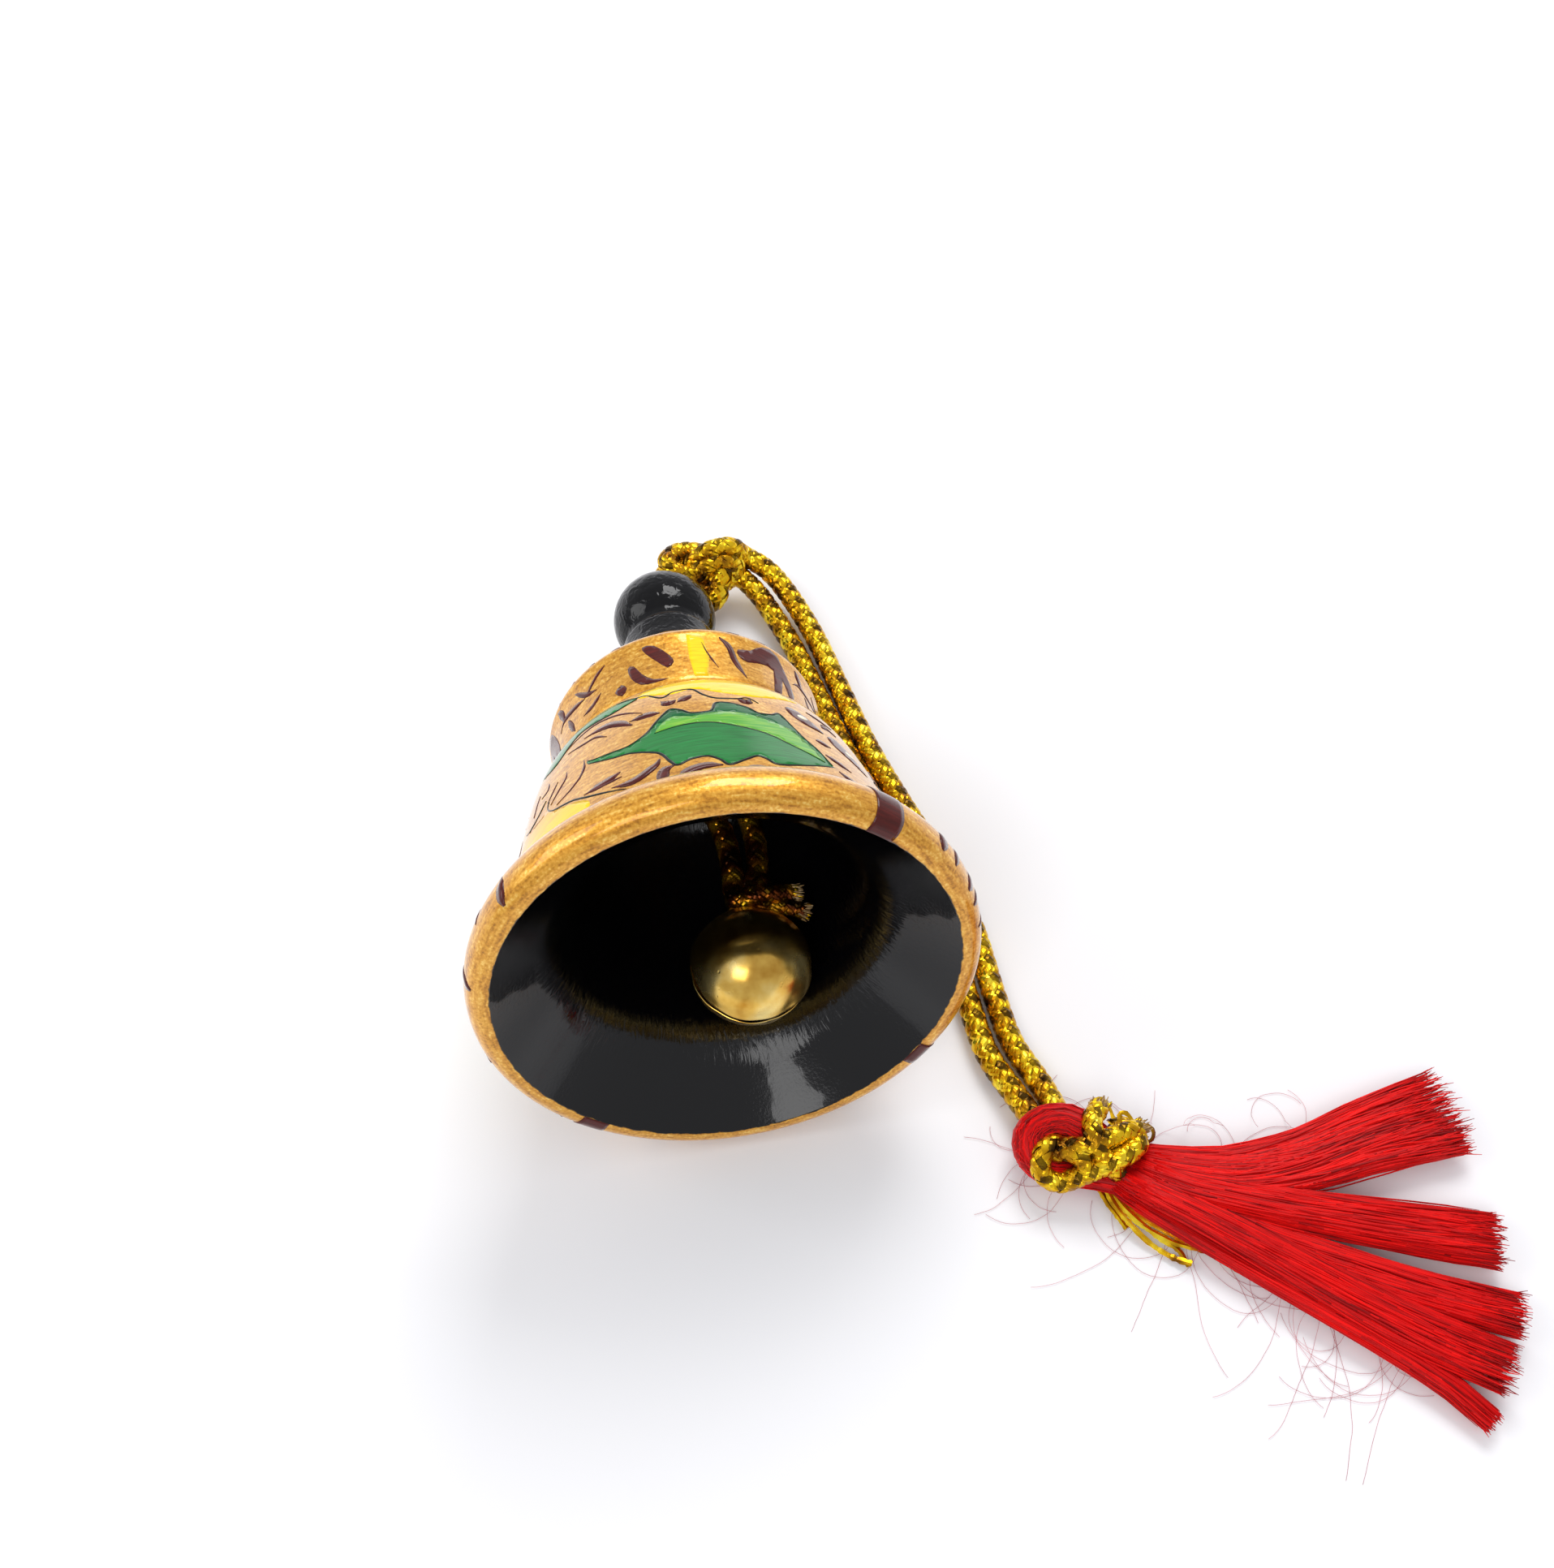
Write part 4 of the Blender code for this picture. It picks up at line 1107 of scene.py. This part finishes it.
def tube(verts, faces, which, uvs, line, radii, sides, kind, u, flat=1.0, up=Vector((0, 0, 1))):
    base = len(verts)
    run = 0.0
    for i, (p, (t, n, b)) in enumerate(zip(line, carriedFrames(line, up))):
        if i:
            run += (p - line[i - 1]).length
        for k in range(sides):
            q = math.tau * k / sides
            verts.append((p + (b * math.cos(q) + n * math.sin(q) * flat) * radii[i]) * mm)
            uvs.append((u if sides < 6 else q * radii[i], run))
    faces += tubeFaces(base, len(line), sides)
    which += [kind] * (len(faces) - len(which))


def finishFibres(name, verts, faces, which, uvs, materials, body):
    ob = meshObject(name, verts, faces, materials, which)
    outwardFaces(ob, uvs)
    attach(ob, body)
    return ob


def flossTuft(name, centre, half, flat, hairs, seed, ragged=2.0, shrink=0.86):
    # a solid heart of filaments and hundreds of single ones over it, cut unevenly at the end
    rnd = random.Random(seed)
    verts, faces, which, uvs = [], [], [], []
    line = evenly(smoothLine(centre, 10), flossSet["spacing"])
    count = len(line)
    width = [half[0] + (half[1] - half[0]) * (i / (count - 1)) ** 0.85 for i in range(count)]
    heart = line[:max(4, count - int(ragged / flossSet["spacing"] * 0.7))]
    sides = flossSet["heartSides"]
    run = 0.0
    for i, (p, (t, n, b)) in enumerate(zip(heart, carriedFrames(heart))):
        run += flossSet["spacing"]
        taper = min(1.0, (len(heart) - i) / 3.5 + 0.45)
        for k in range(sides):
            q = math.tau * k / sides
            lump = 1 + 0.16 * noise.noise(Vector((math.cos(q) * 2.2, math.sin(q) * 2.2, run * 0.05 + seed)))
            w = width[i] * shrink * lump * taper
            verts.append((p + b * math.cos(q) * w + n * math.sin(q) * w * flat) * mm)
            uvs.append((q * width[i], run))
    faces += tubeFaces(0, len(heart), sides)
    which += [0] * len(faces)
    frames = carriedFrames(line)
    for h in range(hairs):
        a = rnd.uniform(0, math.tau)
        r = 1.0 if rnd.random() < 0.72 else rnd.uniform(0.3, 1.12)
        drift = rnd.uniform(-0.5, 0.5)
        phase = rnd.uniform(0, math.tau)
        cut = rnd.uniform(-ragged, ragged * 0.45)
        steps = flossSet["hairSteps"]
        path, radii = [], []
        first = rnd.uniform(0.0, 0.12) * count
        last = count - 1 + min(0.0, cut) / flossSet["spacing"]
        for j in range(steps + 1):
            at = first + (last - first) * j / steps
            i = max(0, min(count - 2, int(at)))
            f = at - i
            p = line[i].lerp(line[i + 1], f)
            t, n, b = frames[i]
            w = width[i] + (width[i + 1] - width[i]) * f
            q = a + drift * j / steps + 0.10 * math.sin(phase + j * 0.8)
            rr = r * (0.90 + 0.10 * math.sin(phase * 2 + j * 0.5))
            point = p + b * math.cos(q) * w * rr + n * math.sin(q) * w * flat * rr
            point.z = max(point.z, flossSet["floor"])
            path.append(point)
            radii.append(flossSet["hair"] if j < steps else flossSet["tip"])
        if cut > 0:
            out = (path[-1] - path[-2]).normalized()
            side = Vector((rnd.uniform(-0.35, 0.35), rnd.uniform(-0.35, 0.35), rnd.uniform(-0.15, 0.1)))
            tip = path[-1] + (out + side) * cut
            tip.z = max(tip.z, flossSet["floor"])
            path.append(tip)
            radii[-1] = 0.08
            radii.append(flossSet["tip"])
        tube(verts, faces, which, uvs, path, radii, 3, 1, rnd.uniform(0, 40))
    return finishFibres(name, verts, faces, which, uvs, [shadedFlossBody, flossHair], "tassel")


tuftSet = [
    ("tuftBack", "tuft_back", [(38.6, -44.6, 3.6), (40.2, -45.3, 3.5), (44.8, -47.0, 3.2),
                               (50, -48.2, 2.9), (57, -48.2, 2.7), (63.6, -47.0, 2.5),
                               (69.1, -46.2, 2.3), (73.6, -45.6, 2.1)], (1.15, 4.7), 0.42, 900, 3.4),
    ("tuftSecond", "tuft_second", [(38.2, -45.6, 3.6), (40.2, -46.8, 3.6), (44.2, -49.2, 3.2),
                                   (52.5, -52.3, 2.8), (60.8, -55.2, 2.5), (66.4, -57.0, 2.2),
                                   (73.4, -59.2, 1.9)], (1.2, 2.9), 0.58, 620, 2.8),
    ("tuftThird", "tuft_third", [(37.8, -46.4, 3.0), (39.6, -47.8, 2.9), (43.9, -50.6, 2.6),
                                 (51.4, -55.7, 2.2), (59.1, -60.0, 2.0), (65.4, -63.3, 1.9),
                                 (72.8, -66.6, 1.8)], (1.2, 2.3), 0.62, 520, 2.6),
    ("tuftFourth", "tuft_fourth", [(37.4, -46.4, 3.6), (39.0, -48.2, 3.6), (43.6, -51.5, 3.3),
                                   (50.9, -57.3, 2.9), (57.9, -63.0, 2.5), (63.7, -67.3, 2.2),
                                   (69.6, -71.0, 1.8)], (1.2, 2.7), 0.6, 620, 3.0),
    ("tuftFront", "tuft_front", [(36.8, -46.6, 2.4), (38.0, -48.4, 2.3), (42, -52.2, 2.1),
                                 (48.4, -57.8, 1.9), (53.7, -62.5, 1.8), (59.4, -67.4, 1.6),
                                 (63.7, -71.6, 1.5), (66.6, -75.4, 1.3)], (1.1, 1.25), 0.75, 380, 1.6),
]
for k, (name, node, centre, half, flat, hairs, ragged) in enumerate(tuftSet):
    ob = flossTuft(name, centre, half, flat, hairs, 21 + k, ragged)
    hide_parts(node)

# the floss is looped through the fold of the cord, which makes the head
headBand = flossTuft("flossHeadBand", [(33.4, -45.0, 2.0), (30.4, -44.6, 2.2), (29.0, -43.0, 2.8),
                                       (29.2, -41.2, 3.4), (30.9, -40.2, 3.9), (33.0, -40.3, 4.2),
                                       (34.9, -41.6, 4.2), (36.2, -43.6, 3.8), (38.0, -45.4, 3.4)],
                     (1.55, 1.75), 0.95, 420, 31, 0.5, 0.95)
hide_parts("tassel_head")
flossTuft("flossHeadInner", [(30.6, -41.4, 2.0), (31.2, -42.4, 2.8), (32.8, -43.0, 3.4), (34.8, -43.6, 3.4),
                             (37.2, -45.0, 3.2)], (1.2, 1.3), 0.95, 220, 33, 0.5, 0.95)
flossTuft("flossHeadUnder", [(30.0, -43.6, 1.5), (32.6, -45.3, 1.6), (35.4, -46.2, 1.9), (38.2, -47.4, 2.2)],
          (1.2, 1.3), 0.9, 220, 35, 0.5, 0.95)

tieRoutes = {
    "tieKnotA": [(32.6, -42.2, 2.6), (31.4, -42.8, 4.2), (30.0, -43.6, 4.6), (29.6, -45.2, 3.4),
                 (31.2, -46.4, 2.8), (33.6, -46.3, 3.8), (36.0, -46.0, 5.0), (38.4, -45.4, 5.4),
                 (39.9, -44.2, 5.0), (39.3, -42.5, 4.6), (37.6, -42.2, 4.4)],
    "tieKnotB": [(36.6, -40.4, 5.6), (35.6, -41.4, 6.1), (35.2, -43.0, 6.3), (35.6, -44.8, 5.4),
                 (37.0, -46.4, 4.0), (38.2, -46.4, 2.4), (38.8, -45.2, 1.4)],
    "tieKnotD": [(31.4, -43.6, 4.0), (32.6, -44.0, 4.9), (33.6, -44.9, 5.0), (34.4, -46.2, 4.0)],
    "tieKnotC": [(32.2, -43.4, 4.6), (34.0, -44.0, 5.6), (36.2, -43.8, 5.9), (38.6, -43.2, 5.7),
                 (40.2, -43.0, 5.0)],
}
for name, route in tieRoutes.items():
    ob, line = braid(name, smoothLine(route, 10), radius=1.12, step=0.2)
    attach(ob, "tassel")
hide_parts("tie_knot")
cutEnd("tieCutFibresA", (36.7, -40.2, 5.5), (0.5, 0.9, -0.3), 1.1, "tassel", 41)
cutEnd("tieCutFibresB", (40.3, -43.0, 5.0), (1.0, 0.3, -0.3), 1.1, "tassel", 43)


def foilStrips(name, lines, width, body, nodes=()):
    # slit foil let out of the braid, each strip flat and lightly creased
    verts, faces, which, uvs = [], [], [], []
    for k, route in enumerate(lines):
        line = evenly(smoothLine(route, 8), 0.35)
        rnd = random.Random(60 + k)
        radii = [width / 2 * (1 + 0.25 * rnd.uniform(-1, 1)) for _ in line]
        tube(verts, faces, which, uvs, line, radii, 4, 0, 0.0, 0.22)
    ob = finishFibres(name, verts, faces, which, uvs, [foilMat], body)
    ob.data.polygons.foreach_set("use_smooth", [False] * len(ob.data.polygons))
    if nodes:
        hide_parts(*nodes)
    return ob


foilStrips("foilEnds", [
    [(35.8, -46.4, 2.2), (36.6, -49.4, 1.6), (38.9, -53.0, 0.7), (41.2, -55.2, 0.45), (42.9, -56.2, 0.75)],
    [(36.2, -46.8, 2.0), (37.6, -49.8, 1.4), (40.2, -52.8, 0.6), (42.0, -54.5, 0.4), (42.6, -56.4, 0.4)],
    [(36.0, -46.6, 1.6), (38.0, -50.6, 1.1), (41.2, -53.4, 0.6), (43.4, -54.6, 0.7), (44.9, -55.2, 0.5)],
    [(36.8, -47.0, 1.5), (38.6, -50.0, 1.2), (42.0, -53.0, 1.0), (45.2, -55.2, 0.8), (47.9, -57.2, 0.8)],
    [(36.4, -46.8, 1.2), (39.2, -50.9, 0.9), (43.0, -53.9, 0.7), (46.0, -55.9, 0.6), (47.4, -57.6, 0.5)],
    [(37.0, -47.2, 1.6), (40.0, -50.4, 1.4), (43.4, -52.8, 1.2), (45.6, -54.4, 1.0)],
    [(35.2, -46.4, 1.4), (36.2, -49.0, 0.9), (37.4, -51.6, 0.5)]], 0.62, "tassel",
    ("foil_end_left", "foil_end_right"))
foilStrips("foilLoop", [
    [(40.2, -43.2, 5.0), (41.2, -42.6, 5.0), (41.9, -43.2, 4.6), (41.6, -44.0, 4.2), (40.6, -44.2, 4.2)],
    [(36.2, -40.4, 6.0), (36.4, -39.6, 6.3), (37.2, -39.5, 6.0), (37.8, -40.4, 5.6), (37.9, -41.6, 5.6)],
    [(38.4, -42.2, 5.8), (38.6, -41.3, 6.0), (39.4, -41.4, 5.8), (39.9, -42.4, 5.4)]], 0.5, "tassel")

# single filaments that have worked loose and lie on the floor round the tassel
pinks = [(0.4, "B4505A"), (0.6, "D99098"), (0.75, "E8B4B8")]
strayTone, tree, shader, where, fade = driftingColour("looseFilament", 120.0, pinks)
setInputs(tree, shader, {"Roughness": 0.5})
strayRnd = random.Random(77)
verts, faces, which, uvs = [], [], [], []
for k in range(flossSet["strays"]):
    if k < 34:
        along = strayRnd.uniform(0.0, 1.0)
        start = Vector((39.0, -49.0, 1.4)).lerp(Vector((64.0, -71.5, 1.0)), along)
        heading = math.radians(strayRnd.uniform(215, 295))
        longRun = strayRnd.uniform(5, 17)
    elif k < 48:
        start = Vector((34.0, -40.0, 2.0)).lerp(Vector((60.0, -45.0, 2.0)), strayRnd.random())
        heading = math.radians(strayRnd.uniform(20, 150))
        longRun = strayRnd.uniform(4, 13)
    else:
        start = Vector((29.5, -41.0, 1.0)).lerp(Vector((34.0, -46.0, 1.0)), strayRnd.random())
        heading = math.radians(strayRnd.uniform(150, 260))
        longRun = strayRnd.uniform(4, 12)
    bend = strayRnd.uniform(-0.16, 0.16)
    path = [start]
    n = 22
    for j in range(n):
        heading += bend + strayRnd.uniform(-0.10, 0.10)
        stepOut = Vector((math.cos(heading), math.sin(heading), 0)) * (longRun / n)
        p = path[-1] + stepOut
        p.z = max(0.05, start.z * (1 - (j + 1) / 5))
        p.x = min(p.x, 82.0)
        p.y = max(p.y, -86.5)
        path.append(p)
    tube(verts, faces, which, uvs, path, [flossSet["stray"]] * len(path), 3, 0, 0.0)
finishFibres("strayFilaments", verts, faces, which, uvs, [strayTone], "tassel")
print("tassel is combed out")

# the loop strands' placing is baked into their meshes
for ob, line in loopCords.values():
    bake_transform(ob)
